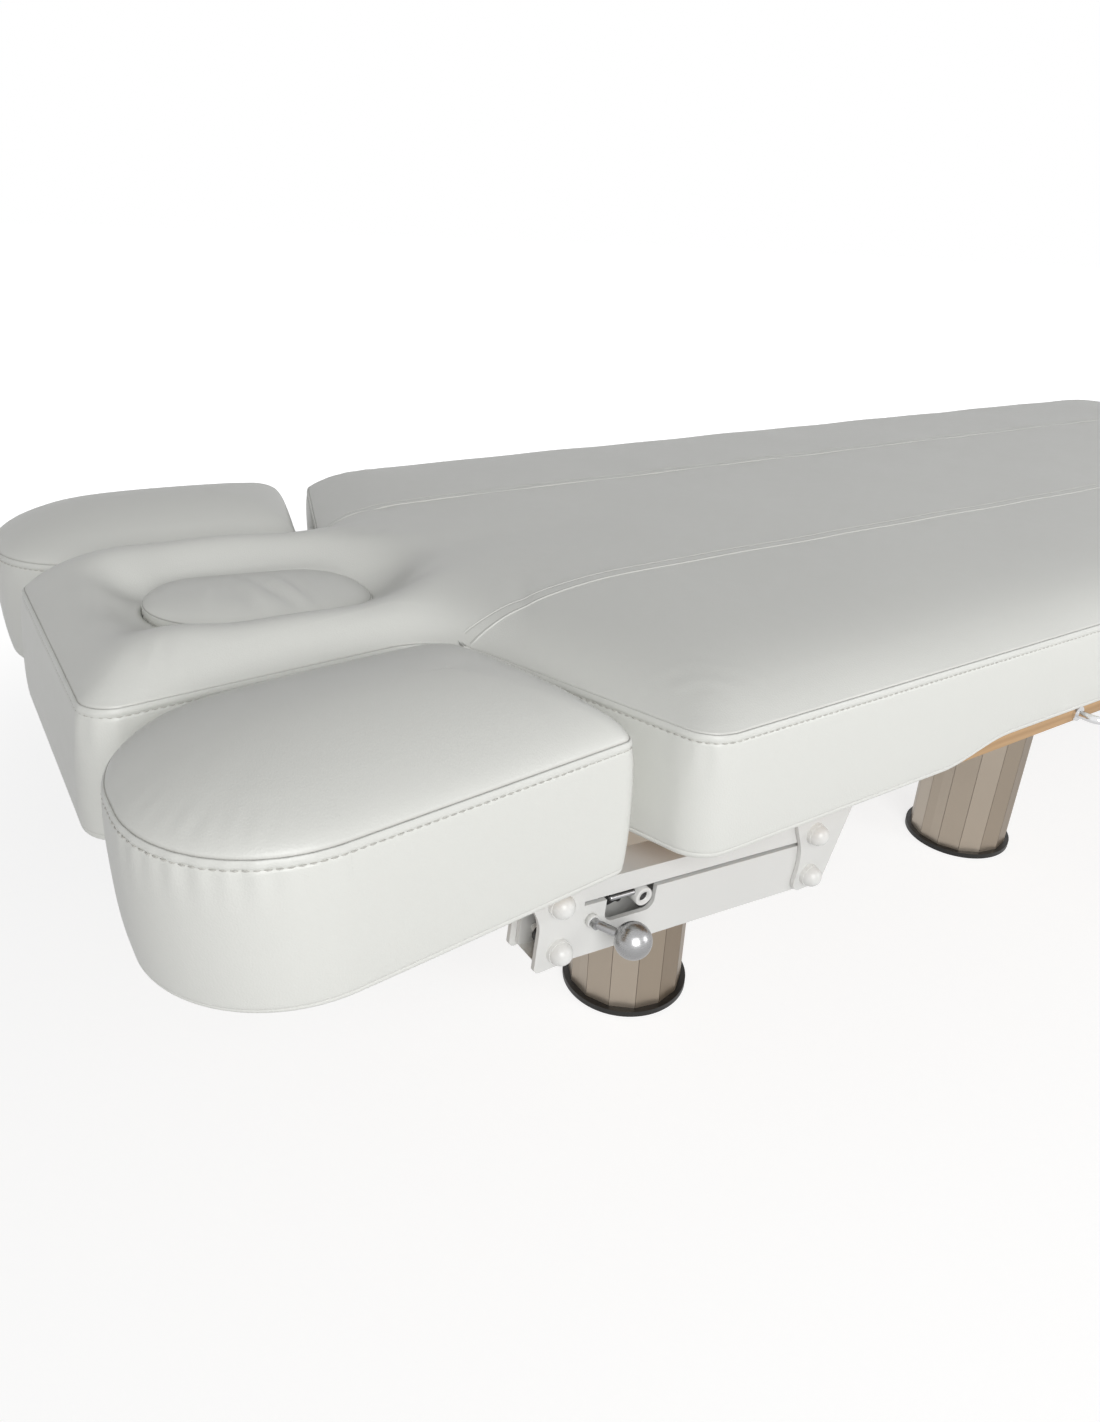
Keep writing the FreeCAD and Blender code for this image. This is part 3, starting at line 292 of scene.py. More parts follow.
# %% Leatherette and thread
def new_finish(name, **sockets):
    """Material with a Principled shader, its plain sockets set directly."""
    made = bpy.data.materials.new(name)
    made.use_nodes = True
    shader = made.node_tree.nodes["Principled BSDF"]
    for key, value in sockets.items():
        shader.inputs[key.replace("_", " ")].default_value = value
    return made, made.node_tree, shader


def dress(tree, shader, color, rough=None, height=None, strength=0.0, deep=0.0):
    """Joins a colour to a shader and, where given, a roughness and a height as a bump."""
    tree.links.new(color, shader.inputs["Base Color"])
    if rough:
        tree.links.new(rough, shader.inputs["Roughness"])
    if height:
        made = add_node(tree, "Bump", Strength=strength, Distance=deep, Height=height)
        tree.links.new(made.outputs["Normal"], shader.inputs["Normal"])


IVORY = (0.785, 0.79, 0.752, 1)
# SEAM_SHADE is the colour of painted shade at the bottom of seams and grooves.
SEAM_SHADE = (0.36, 0.35, 0.32, 1)
THREAD = (0.58, 0.57, 0.535, 1)
leather, tree, shader = new_finish("ivory_leatherette", Specular_IOR_Level=0.5)
tone = place_group(tree, drift, Color=IVORY, Scale=3.0, Amount=0.05)
pebbles = place_group(tree, grain, Pebble=800.0, Soft=70.0)
# The attribute read here darkens the ivory towards SEAM_SHADE: painted shade along the seams, the stitch
# grooves and the hem.
line = add_node(tree, "Attribute", {"attribute_name": "painted_shade"}).outputs["Fac"]
dress(tree, shader, mixed(tree, line, tone["Color"], SEAM_SHADE),
      between(tree, pebbles["Mask"], 0.30, 0.14), pebbles["Height"], 0.25, 0.6 * MM)

thread, tree, shader = new_finish("ivory_thread", Roughness=0.6)
dress(tree, shader, place_group(tree, drift, Color=THREAD, Scale=300.0, Amount=0.3)["Color"])
print("soft finishes", leather.name, thread.name)


# %% Paint and plastic
def painted(name, color, low, high, peel=0.12):
    """Sprayed or moulded surface: slow tone drift, orange peel, and a roughness that follows it."""
    made, tree, shader = new_finish(name)
    tone = place_group(tree, drift, Color=color, Scale=6.0, Amount=0.06)
    skin = place_group(tree, grain, Pebble=420.0, Soft=160.0)
    rough = between(tree, skin["Mask"], low, high - low)
    dress(tree, shader, tone["Color"], rough, skin["Height"], peel, 0.4 * MM)
    return made


FINISHES = {
    "white_metal": painted("white_powder_coat", (0.75, 0.75, 0.73, 1), 0.28, 0.42),
    "white_caps": painted("white_cap_plastic", (0.82, 0.82, 0.80, 1), 0.2, 0.32, 0.05),
    "frame_metal": painted("frame_paint", (0.74, 0.74, 0.72, 1), 0.32, 0.48),
    "column_core": painted("sleeve_paint", (0.42, 0.36, 0.29, 1), 0.45, 0.6),
    "black_metal": painted("plinth_paint", (0.012, 0.011, 0.010, 1), 0.3, 0.5),
    "drive_housing": painted("drive_plastic", (0.05, 0.05, 0.055, 1), 0.4, 0.55),
    "glide_plastic": painted("glide_plastic", (0.035, 0.035, 0.035, 1), 0.35, 0.45),
    "black_plastic": painted("control_plastic", (0.03, 0.03, 0.032, 1), 0.42, 0.58, 0.3),
}
print("painted finishes", len(FINISHES))


# %% Bare metal
def metal(name, color, low, high, stretch, strength=0.08):
    """Bare metal with fine lines left by turning, drawing or brushing."""
    made, tree, shader = new_finish(name, Metallic=1.0)
    tone = place_group(tree, drift, Color=color, Scale=25.0, Amount=0.08)
    lines = place_group(tree, brush, Stretch=stretch, Low=low, High=high)
    dress(tree, shader, tone["Color"], lines["Roughness"], lines["Height"], strength, 0.2 * MM)
    return made


FINISHES.update({
    "satin_steel": metal("satin_steel", (0.40, 0.40, 0.405, 1), 0.22, 0.34, (60.0, 60.0, 900.0)),
    "lock_steel": metal("blackened_steel", (0.06, 0.06, 0.06, 1), 0.4, 0.55, (300.0, 60.0, 300.0)),
    "zinc_fasteners": metal("zinc_plate", (0.6, 0.6, 0.57, 1), 0.3, 0.45, (400.0, 400.0, 400.0)),
    "bright_chrome": metal("rail_chrome", (0.8, 0.8, 0.81, 1), 0.05, 0.1, (20.0, 500.0, 500.0), 0.02),
})
drawn_steel = metal("drawn_steel", (0.46, 0.46, 0.465, 1), 0.24, 0.32, (500.0, 500.0, 5.0), 0.03)
print("with the metals", len(FINISHES) + 1)

# %% Champagne slats
SLATS = 14
SLAT_DARK, SLAT_PALE = (0.30, 0.238, 0.175, 1), (0.64, 0.57, 0.485, 1)


def cladding(name, axis_x):
    """Slats: a tone for each, by its angle about the column, and upright brush lines."""
    made, tree, shader = new_finish(name, Metallic=0.75)
    split = add_node(tree, "SeparateXYZ", Vector=object_spot(tree)).outputs
    angle = sums(tree, "ARCTAN2", split["Y"], sums(tree, "SUBTRACT", split["X"], axis_x))
    number = sums(tree, "ROUND", sums(tree, "MULTIPLY", angle, SLATS / (2 * math.pi)))
    luck = add_node(tree, "TexWhiteNoise", {"noise_dimensions": "1D"}, W=number).outputs["Value"]
    slat = mixed(tree, luck, SLAT_DARK, SLAT_PALE)
    tone = place_group(tree, drift, Color=slat, Scale=9.0, Amount=0.08)
    lines = place_group(tree, brush, Stretch=(700.0, 700.0, 6.0), Low=0.3, High=0.42)
    dress(tree, shader, tone["Color"], lines["Roughness"], lines["Height"], 0.06, 0.2 * MM)
    return made


for end in ("head", "foot"):
    low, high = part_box("column_slats_" + end)
    axis_x = (low.x + high.x) / 2
    FINISHES["column_slats_" + end] = cladding("champagne_slats_" + end, axis_x)
    FINISHES["column_stage_" + end] = drawn_steel
    print("slats of the", end, "column about", round(axis_x, 4))


# %% Plywood, and every hard part's finish
def board(name, pale, dark, layers):
    """Plywood: plies by height, and long growth lines that wander along the board."""
    made, tree, shader = new_finish(name, Roughness=0.5)
    spot = object_spot(tree)
    split = add_node(tree, "SeparateXYZ", Vector=spot).outputs
    ply = sums(tree, "PINGPONG", sums(tree, "MULTIPLY", split["Z"], layers), 1.0)
    long = add_node(tree, "VectorMath", {"operation": "MULTIPLY"}, _0=spot, _1=(14.0, 90.0, 260.0))
    growth = add_node(tree, "TexNoise", Vector=long.outputs[0], Scale=1.0, Detail=5.0,
                      Distortion=0.6).outputs["Fac"]
    share = between(tree, ply, sums(tree, "MULTIPLY", growth, 0.75), 0.35)
    tone = place_group(tree, drift, Color=mixed(tree, share, pale, dark), Scale=5.0, Amount=0.12)
    dress(tree, shader, tone["Color"], None, growth, 0.15, 0.4 * MM)
    return made


FINISHES["deck_wood"] = board("deck_plywood", (0.60, 0.39, 0.205, 1), (0.40, 0.235, 0.11, 1), 230.0)
FINISHES["board_wood"] = board("armrest_plywood", (0.62, 0.45, 0.27, 1), (0.46, 0.31, 0.17, 1), 310.0)
for row in frame["record"]["subparts"]:
    finish = FINISHES.get(row["node"], FINISHES.get(row["material_slot"]))
    if finish:
        mesh = frame["nodes"][row["node"]].data
        mesh.materials.clear()
        mesh.materials.append(finish)
print("finishes on the hard parts", len(FINISHES))

# %% [markdown]
# ## The mattress
# The cover is one top panel, sewn all round to an upright band called the boxing, over a block of foam. The
# foam pushes the top up into a crown that falls off towards the seam, and the face hole draws it down again.
# A simulation would find these forms by trial, so here they are written down: a height for every point of
# the plan, added up from the crown, the roll beside the seam, the dip, the valleys and the folds.

# %% Sizes of the pads
low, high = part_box("mattress")
plug_low, plug_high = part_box("face_plug")
deck_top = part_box("deck_board")[1].z
TUCK, CREASE, HEM, FOAM = 4 * MM, 1 * MM, 4 * MM, 88 * MM
SEAM_Z = deck_top + FOAM
DEPTH = SEAM_Z - low.z
STITCH_DROP, HEM_STITCH = 6.5 * MM, 6 * MM
HOLE_GAP, STADIUM = 0.3 * MM, 0.98
centre_x = (plug_low.x + plug_high.x) / 2
hole_long, hole_wide = (plug_high.x - plug_low.x) / 2 + HOLE_GAP, plug_high.y + HOLE_GAP
hole_round = STADIUM * hole_wide
HEAD_HALF, NECK_HALF, NECK_X, SHOULDER_X = 0.158, 0.142, low.x + 0.280, low.x + 0.359
BARE_X, RAMP = low.x + 0.722, 0.088
HEAD_FLARE = 11 * MM
print("mattress seam at", round(SEAM_Z, 4), "boxing", round(DEPTH, 4), "hole at", round(centre_x, 4))

# %% Pattern of the right half
half = rounded_path(((low.x, 0, 0), (low.x, -HEAD_HALF, 0.030), (NECK_X, -NECK_HALF, 0.060),
                     (SHOULDER_X, low.y, 0.036), (high.x, low.y, 0.062), (high.x, 0, 0)), False)
half = paced(half, 7 * MM, 2.6 * MM)
half_out = outward(half, False)
half_way = travelled(half)
seam = half - (TUCK + CREASE) * half_out
print("pattern lines", len(half), "length", round(float(half_way[-1]), 3))

# %% Lines across the pattern
# Each line runs from the seam to an inner path, which goes round the hole and then along the middle.
inner = rounded_path(((centre_x - hole_long, 0, 0), (centre_x - hole_long, -hole_wide, hole_round),
                      (centre_x + hole_long, -hole_wide, hole_round), (centre_x + hole_long, 0, 0),
                      (high.x - 0.19, 0, 0)), False)
inner_way = travelled(inner)
tip_way = inner_way[np.argmax((inner[:, 1] == 0) & (inner[:, 0] > centre_x))]


def nearest(x, y):
    """Distance along the pattern of its point nearest to a corner."""
    return half_way[np.argmin(np.hypot(half[:, 0] - x, half[:, 1] - y))]


marks = [0, nearest(low.x, -HEAD_HALF), nearest(NECK_X - 0.02, -NECK_HALF), nearest(SHOULDER_X, low.y),
         nearest(high.x, low.y), half_way[-1]]
inner_marks = [0, 0.075, tip_way, tip_way + 0.26, inner_way[-1] - 0.02, inner_way[-1]]
reached = np.interp(half_way, marks, inner_marks)
tip_line = int(np.argmin(np.abs(reached - tip_way)))
reached[tip_line] = tip_way
core = at_ways(reached, inner_way, inner)
print("lines that end at the hole", tip_line + 1)

# %% Distances from the seam
BLOCKS = 60
whole_edge = np.vstack([seam[::3], seam[::-3] * [1, -1]])
dense_edge = paced(np.vstack([seam, seam[::-1] * [1, -1]]), 1.5 * MM, 1.5 * MM)
dense_out = outward(dense_edge, False)


def in_blocks(x, y, points):
    """Blocks of spots, each with a table of its distances from every point."""
    for spots in np.array_split(np.stack([x.ravel(), y.ravel()], axis=1), BLOCKS):
        yield spots, np.hypot(spots[:, :1] - points[:, 0], spots[:, 1:] - points[:, 1])


def soft_distance(x, y, edge, width):
    """Smooth distance to an edge, never below 0.

    It is minus the width times the log of the sum of exp(-distance / width) along the edge.
    """
    gaps = np.linalg.norm(np.diff(edge, axis=0), axis=1)
    points = (edge[1:] + edge[:-1]) / 2
    result = []
    for spots, away in in_blocks(x, y, points):
        result.append(-width * np.log((np.exp(-away / width) * gaps).sum(axis=1) / (2 * width)))
    return np.maximum(np.concatenate(result).reshape(x.shape), 0)


def edge_distance(x, y):
    """Distance to the edge seam: from its nearest point, measured along the normal there."""
    result = []
    for spots, away in in_blocks(x, y, dense_edge):
        place = away.argmin(axis=1)
        result.append(np.abs(((spots - dense_edge[place]) * dense_out[place]).sum(axis=1)))
    return np.concatenate(result).reshape(x.shape)


def hole_distance(x, y):
    """Distance outside the face hole: from its two end circles and the straight sides between them."""
    past_x = np.maximum(np.abs(x - centre_x) - (hole_long - hole_round), 0)
    past_y = np.maximum(np.abs(y) - (hole_wide - hole_round), 0)
    return np.maximum(np.hypot(past_x, past_y) - hole_round, 0)


print("edge seam of", len(dense_edge), "points")


# %% Bells, swells and folds
def bell(value, width):
    """Smooth hump of height 1: exp(-(value / width) squared)."""
    return np.exp(-(value / width) ** 2)


def swell(distance, height, width):
    """Rise that levels off: height times (1 - exp(-distance / width))."""
    return height * (1 - np.exp(-distance / width))


def seam_dip(gap):
    """Depth of the groove along a seam: a bell over the distance from it."""
    return 1.3 * MM * bell(gap, 0.35 * MM)


def folds(x, y, lines):
    """Sum of long soft ridges (x, y, heading, half length, half width, height).

    Each is its height times a bell along its heading and a bell across it.
    """
    total = np.zeros_like(x)
    for at_x, at_y, heading, length, width, height in lines:
        turn = math.radians(heading)
        along = (x - at_x) * math.cos(turn) + (y - at_y) * math.sin(turn)
        across = (y - at_y) * math.cos(turn) - (x - at_x) * math.sin(turn)
        total += height * bell(along, length) * bell(across, width)
    return total


HEAD_FOLDS = (
    (-0.955, -0.136, 66, 0.020, 0.0050, 0.0017), (-0.946, -0.137, 70, 0.018, 0.0045, -0.0016),
    (-0.937, -0.136, 72, 0.020, 0.0050, 0.0017), (-0.921, -0.136, 76, 0.018, 0.0050, -0.0014),
    (-0.950, 0.136, -68, 0.015, 0.0045, 0.0010), (-0.938, 0.137, -72, 0.014, 0.004, -0.0009),
    (-0.700, -0.060, 20, 0.040, 0.010, -0.0016), (-0.690, 0.070, -24, 0.042, 0.010, -0.0016),
    (-0.655, -0.150, 62, 0.035, 0.008, -0.0013), (-0.650, 0.155, -60, 0.035, 0.008, -0.0013),
)
print("folds of the head", len(HEAD_FOLDS))

# %% Crown, hole and valleys
SETTLE = 10 * MM
CROWN_EDGE, CROWN_BROAD, SEAM_LIP = (18.5 * MM, 21 * MM), (10 * MM, 45 * MM), (3.4 * MM, 5 * MM)
CAMBER = 1.2 * MM
RING, RING_LEAN, RING_OUT, RING_WIDTH = 13 * MM, 2.5 * MM, 0.052, 0.030
BULGE, RIM, RIM_WIDTH, RIM_TUCK = 10 * MM, 7 * MM, 0.034, 3.5 * MM
VALLEY, VALLEY_TURN, VALLEY_REACH = 8.5 * MM, 0.80, 0.095
TROUGH, TROUGH_HALF, TROUGH_LONG = 10.5 * MM, 0.038, 0.085


def crown(x, y, edge_gap):
    """Foam under the cover: a narrow and a broad swell from the seam, a lip beside it and a camber."""
    height = swell(soft_distance(x, y, dense_edge[::3], 10 * MM), *CROWN_EDGE)
    height += swell(soft_distance(x, y, whole_edge, 30 * MM), *CROWN_BROAD) + swell(edge_gap, *SEAM_LIP)
    return height + CAMBER * (1 - (y / high.y) ** 2) * swell(edge_gap, 1, SETTLE)


def round_hole(x, y, height, settled):
    """A height with a bulge at each head corner, a ring round the hole and the fall to its rim."""
    gap = hole_distance(x, y)
    ring = (RING + RING_LEAN * np.tanh(y / 0.05)) * bell(gap - RING_OUT, RING_WIDTH)
    ring = ring * bell(x - centre_x + 0.012, 0.115)
    bulge = BULGE * bell(x - low.x - 0.053, 0.050) * bell(np.abs(y) - 0.105, 0.045)
    rim = bell(gap, RIM_WIDTH)
    height = (height + (ring + bulge) * settled) * (1 - rim) + RIM * rim
    return height - RIM_TUCK * np.exp(-gap / (2.2 * MM))


def valleys(x, y, settled):
    """Depth of the valleys from the hole to the head corners, and of the trough behind the hole."""
    front = centre_x - hole_long + 0.055
    ahead = np.arctan2(np.abs(y), front - x)
    radius = np.hypot(y, x - front)
    depth = VALLEY * bell(ahead - VALLEY_TURN, 0.26) * bell(radius - VALLEY_REACH, 0.040) * settled
    behind = x - (centre_x + hole_long)
    trough = np.where(behind > 0, np.exp(-np.maximum(behind, 0) / TROUGH_LONG), bell(behind, 0.02))
    return depth + TROUGH * bell(y, TROUGH_HALF) * trough


def mattress_top(x, y, edge_gap):
    """Height above the seam: crown, hole and valleys, then folds, shoulder arcs and slow waves."""
    settled = swell(edge_gap, 1, SETTLE)
    height = round_hole(x, y, crown(x, y, edge_gap), settled) - valleys(x, y, settled)
    corner = np.hypot(x - SHOULDER_X - 0.004, np.abs(y) - high.y + 0.004)
    arcs = np.sin(2 * math.pi * (corner - 0.030) / 0.020) * bell(corner - 0.066, 0.030)
    wander = np.sin(19 * x + 1.3) * np.sin(23 * y + 0.7) + 0.6 * np.sin(41 * x + 17 * y + 2.1)
    small = folds(x, y, HEAD_FOLDS) + 0.3 * MM * arcs + 0.5 * MM * wander
    return height + small * settled - seam_dip(edge_gap)


middle = np.array([0.2]), np.array([0.0])
print("crown in the middle", round(float(mattress_top(*middle, edge_distance(*middle))[0]), 4))

# %% Boxing
UPPER_ROWS = np.array([0.35, 0.8, 1.4, 2.2, 3.2, 4.3, 5.2, 5.8, 6.5, 7.2, 7.8, 8.8, 11, 15, 20]) * MM
MIDDLE_ROWS = np.linspace(0, 1, 9)[1:-1]
HEM_ROWS = np.array([10, 8, 7, 6.4, 6, 5.6, 5, 4, 3.2, 2.4, 1.6, 0.9, 0.4, 0.1, 0]) * MM
LIP_IN, LIP_UP = np.array([0.6, 1.4]) * MM, np.array([0.2, 1.4]) * MM


def boxing_rows(bottom):
    """Drops below the seam: close at the seam, the stitches and the hem, and even between."""
    bottom = bottom[:, None]
    upper = np.repeat(UPPER_ROWS[None], len(bottom), 0)
    middle = UPPER_ROWS[-1] + MIDDLE_ROWS * (bottom - UPPER_ROWS[-1] - HEM_ROWS[0])
    return np.hstack([upper, middle, bottom - HEM_ROWS])


def boxing(drop, bottom, hem):
    """Offset of a boxing from its widest line.

    A cubic tuck at both edges, a quarter circle at the hem, a lip under the seam, and grooves at the seam,
    the stitches and the hem's sewing.
    """
    share = drop / bottom
    tuck = -TUCK * np.abs(2 * share - 1) ** 3 * np.where(share > 0.5, 0.75, 1)
    bend = np.clip((drop - bottom + hem) / hem, 0, 1)
    fold = -hem * (1 - np.sqrt(1 - bend ** 2))
    lip = 0.6 * MM * bell(drop - 3.4 * MM, 2 * MM) - 0.9 * MM * bell(drop, 0.5 * MM)
    sewn = 0.7 * MM * bell(drop - STITCH_DROP, 1.1 * MM)
    hemmed = 0.6 * MM * bell(drop - bottom + HEM_STITCH, 0.8 * MM)
    return tuck + fold + lip - (sewn + hemmed)


def lips(out, drop, limit, deep):
    """Three more rows: two turn the hem in and up, up to a limit, and the last goes up to a depth."""
    more_out = np.maximum(out[:, -1:] - LIP_IN, limit)
    more_drop = np.maximum(drop[:, -1:] - LIP_UP, deep)
    last = np.ones((len(out), 1))
    return np.hstack([out, more_out, limit * last]), np.hstack([drop, more_drop, deep * last])


def ripple(way):
    """Uneven waves along an edge: two sines of different length."""
    return np.sin(way / 0.0026) + 0.5 * np.sin(way / 0.0041 + 1)


def seam_painted_shade(shape, seam_row):
    """Numbers of painted shade for a table: 1 on the seam's row, less beside it, faint on the grooves at the
    stitches and the hem.
    """
    painted_shade = np.zeros(shape)
    painted_shade[:, seam_row] = 1
    painted_shade[:, [seam_row - 1, seam_row + 1]] = 0.15
    painted_shade[:, seam_row + 1 + int(np.argmin(np.abs(UPPER_ROWS - STITCH_DROP)))] = 0.12
    hem_start = seam_row + len(UPPER_ROWS) + len(MIDDLE_ROWS) + 1
    painted_shade[:, hem_start + int(np.argmin(np.abs(HEM_ROWS - HEM_STITCH)))] = 0.3
    return painted_shade


print("rows of a boxing", boxing_rows(np.array([DEPTH])).shape[1])

# %% Rows of the mattress
EDGE_ROWS = np.array([0, 0.35, 0.8, 1.4, 2.2, 3.5, 5.5, 8.5, 12.5, 17.5, 24, 32]) * MM
INNER_ROWS = np.linspace(0, 1, 35)[1:] ** 1.6
UNDER_EDGE, UNDER = -8.6 * MM, FOAM - 0.5 * MM


def rows_inward(edge, heart, inner_rows):
    """Rows from an edge to a heart line, close at the edge, and their distances from it."""
    length = np.linalg.norm(heart - edge, axis=1)[:, None]
    rest = EDGE_ROWS[-1] + (length - EDGE_ROWS[-1]) * inner_rows
    across = np.hstack([np.repeat(EDGE_ROWS[None], len(edge), 0), rest])
    return rows_between(edge, heart, across / length), across


top_xy = rows_inward(seam, core, INNER_ROWS)[0]
edge_gap = edge_distance(top_xy[..., 0], top_xy[..., 1])
ramp = np.clip((half[:, 0] - BARE_X + RAMP) / RAMP, 0, 1)
bottom = DEPTH - (DEPTH - FOAM) * ramp * ramp * (3 - 2 * ramp)
round_corner = sum(bell(np.hypot(half[:, 0] - x, half[:, 1] - y), 0.050)
                   for x, y in ((low.x, -HEAD_HALF), (SHOULDER_X, low.y), (high.x, low.y)))
print("rows of the top", top_xy.shape[1])


# %% Skin of the mattress
def level(plan, height):
    """Points of a plan at a height."""
    return np.dstack([plan, np.broadcast_to(height, plan.shape[:2])])


def mattress_half(sign):
    """Table of points from the hole or the middle over the top, down the boxing and under the foam."""
    side = [1, -sign]
    x, y = np.moveaxis(top_xy * side, -1, 0)
    top = level(top_xy * side, SEAM_Z + mattress_top(x, y, edge_gap))[:, ::-1]
    drop = boxing_rows(bottom)
    out = boxing(drop, bottom[:, None], HEM)
    out += 0.4 * MM * (round_corner * ripple(half_way))[:, None] * bell(drop - 0.016, 0.014)
    out += HEAD_FLARE * bell(half[:, 0] - low.x, 0.030)[:, None] * drop / bottom[:, None]
    out, drop = lips(out, drop, UNDER_EDGE, UNDER)
    wall_xy = half[:, None] + half_out[:, None] * out[..., None]
    floor_xy = rows_between(wall_xy[:, -1], core, np.linspace(0, 1, 5)[1:])
    table = [top, level(wall_xy * side, SEAM_Z - drop), level(floor_xy * side, SEAM_Z - UNDER)]
    table = np.concatenate(table, axis=1)
    return table, seam_painted_shade(table.shape[:2], top.shape[1] - 1)


WELD = 2e-5
tables, painted_shades, quads, start = [], [], [], 0
for side, sign in SIDES:
    skin, painted_shade = mattress_half(sign)
    at_hole = skin[: tip_line + 1]
    lining = rows_between(at_hole[:, 0], at_hole[:, -1], np.linspace(0, 1, 8))
    for table, lines in ((skin, painted_shade), (lining, np.zeros(lining.shape[:2]))):
        tables.append(table.reshape(-1, 3))
        painted_shades.append(lines.ravel())
        quads += grid_quads(table.shape, start).tolist()
        start += len(tables[-1])
mattress = piece("mattress_cover", np.vstack(tables), "bed", leather, WELD,
                 np.concatenate(painted_shades), quads)
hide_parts("mattress")

# %% [markdown]
# ## Panel seams
# The top is cut from three panels. Each joint between them is a narrow band with a raised lip on both sides.
# It is a profile carried along a path, so its lips stay crisp on any mesh. The path starts at the neck,
# swings out a little and runs straight to the foot.

# %% Panel bands
def panel_y(x):
    """Distance of a panel seam from the middle: a constant and a bell of widening behind the neck."""
    return 0.148 + 0.016 * bell(x - NECK_X - 0.028, 0.085)


BAND_HALF = np.array([8.4, 7.9, 7.4, 6.9, 6.4, 6.0, 5.6, 5.1, 4.6, 3.5, 1.8, 0]) * MM
band_s = np.concatenate([-BAND_HALF, BAND_HALF[-2::-1]])
steps_x = np.linspace(NECK_X - 0.012, NECK_X + 0.05, 120)
start_x = steps_x[np.argmin(edge_distance(steps_x, -panel_y(steps_x)))]
band_x = start_x + (high.x - TUCK - 3 * MM - start_x) * np.linspace(0, 1, 620) ** 1.15
band_path = np.stack([band_x, -panel_y(band_x)], axis=1)
band_out = outward(band_path, False)


def band_rise(s):
    """Height of the band over the cover: a bell at each lip, a low middle, and sunk edges."""
    s = np.abs(s) / MM
    lip = 0.9 * bell(s - 6.0, 0.7)
    middle = 0.4 / (1 + np.exp((s - 5) / 0.4))
    sunk = 1.2 / (1 + np.exp(-(s - 7.7) / 0.25))
    return (lip + middle - sunk) * MM


def band_surface(s):
    """Points of the band's top, a row for each offset across it, with its start sunk in."""
    x = band_path[None, :, 0] + band_out[None, :, 0] * s[:, None]
    y = band_path[None, :, 1] + band_out[None, :, 1] * s[:, None]
    hidden = np.exp(-travelled(band_path) / (4 * MM))
    rise = band_rise(s)[:, None] * (1 - hidden) - 1.5 * MM * hidden
    return np.dstack([x, y, SEAM_Z + mattress_top(x, y, edge_distance(x, y)) + rise])


upper_face = band_surface(band_s)
lower_face = upper_face[[-1, 0]] - [0, 0, 2 * MM]
band = np.concatenate([upper_face, lower_face])
ends = np.repeat(band.mean(axis=0)[None], len(band), 0)
band = np.concatenate([ends[:, :1], band, ends[:, -1:]], axis=1)
# Painted shade at the foot of each lip of the band, which the leather finish reads as an attribute and
# darkens by.
dark = sum(0.5 * bell(np.abs(band_s) - offset * MM, 0.35 * MM) for offset in (7.3, 4.7))
dark = np.repeat(np.concatenate([dark, [0, 0]])[:, None], band.shape[1], 1)
around = grid_quads(band.shape, wrap=True).tolist()
for side, sign in SIDES:
    piece("panel_band_" + side, on_side(band, sign), "bed", leather, WELD, dark, around)

# %% [markdown]
# ## The face plug
# The plug is a small stadium cushion that is pressed into the hole by hand. It never sits quite level: the
# end by the head stands a little proud and shows its side band, and its loose cover has a few soft folds.

# %% Plug pattern
PLUG_GAP, PLUG_SPINE = 0.6 * MM, 0.040
PLUG_PROUD, PLUG_TILT = 6 * MM, 6.5 * MM
plug_long, plug_wide = (plug_high.x - plug_low.x) / 2 - PLUG_GAP, plug_high.y - PLUG_GAP
plug_round = STADIUM * plug_wide
plug_corners = [(centre_x + along * plug_long, across * plug_wide, plug_round)
                for along, across in ((-1, -1), (1, -1), (1, 1), (-1, 1))]
plug_edge = paced(rounded_path(plug_corners, True), 3 * MM, 2.2 * MM)
plug_out = outward(plug_edge, True)
spine = np.clip(plug_edge, [centre_x - PLUG_SPINE, 0], [centre_x + PLUG_SPINE, 0])
PLUG_FOLDS = (
    (0.004, -0.012, 103, 0.034, 0.0050, -0.0029), (0.016, -0.010, 101, 0.034, 0.0055, 0.0025),
    (-0.012, -0.014, 97, 0.030, 0.0050, 0.0023), (0.030, -0.012, 95, 0.030, 0.0050, -0.0024),
    (-0.026, -0.012, 92, 0.026, 0.0050, -0.0021), (-0.050, -0.010, 80, 0.022, 0.0050, 0.0017),
)


def plug_lean(x):
    """Height of the plug's seam: proud at the head end and flush at the other."""
    return SEAM_Z + PLUG_PROUD - PLUG_TILT * (x - centre_x) / plug_long


print("plug lines", len(plug_edge), "seam at the head end", round(plug_lean(plug_low.x), 4))

# %% Plug cover
PLUG_ROWS = np.array([0, 0.012, 0.03, 0.07, 0.12, 0.18, 0.26, 0.36, 0.48, 0.6, 0.72, 0.84, 0.93, 1])
PLUG_DROPS = np.array([0.35, 0.8, 1.6, 3, 5, 6.5, 7.5, 8.5, 10, 14, 22, 32, 42, 50, 55, 58, 60]) * MM
PLUG_STITCH = 7.5 * MM
plug_rim = plug_edge - 0.8 * MM * plug_out
plug_xy = rows_between(plug_rim, spine, PLUG_ROWS)
plug_gap = PLUG_ROWS * np.linalg.norm(spine - plug_rim, axis=1)[:, None]
plug_x, plug_y = plug_xy[..., 0], plug_xy[..., 1]
plug_z = plug_lean(plug_x) + swell(plug_gap, 3 * MM, 4 * MM) + swell(plug_gap, 11.5 * MM, 20 * MM)
plug_z += folds(plug_x - centre_x, plug_y, PLUG_FOLDS) * swell(plug_gap, 1, 6 * MM)
plug_z -= 1 * MM * bell(plug_gap, 0.4 * MM)
plug_side = -0.6 * MM * (bell(PLUG_DROPS, 0.5 * MM) + bell(PLUG_DROPS - PLUG_STITCH, 1.4 * MM))
plug_side -= 4 * MM * (PLUG_DROPS / PLUG_DROPS[-1]) ** 6
side_xy = plug_edge[:, None] + plug_out[:, None] * plug_side[None, :, None]
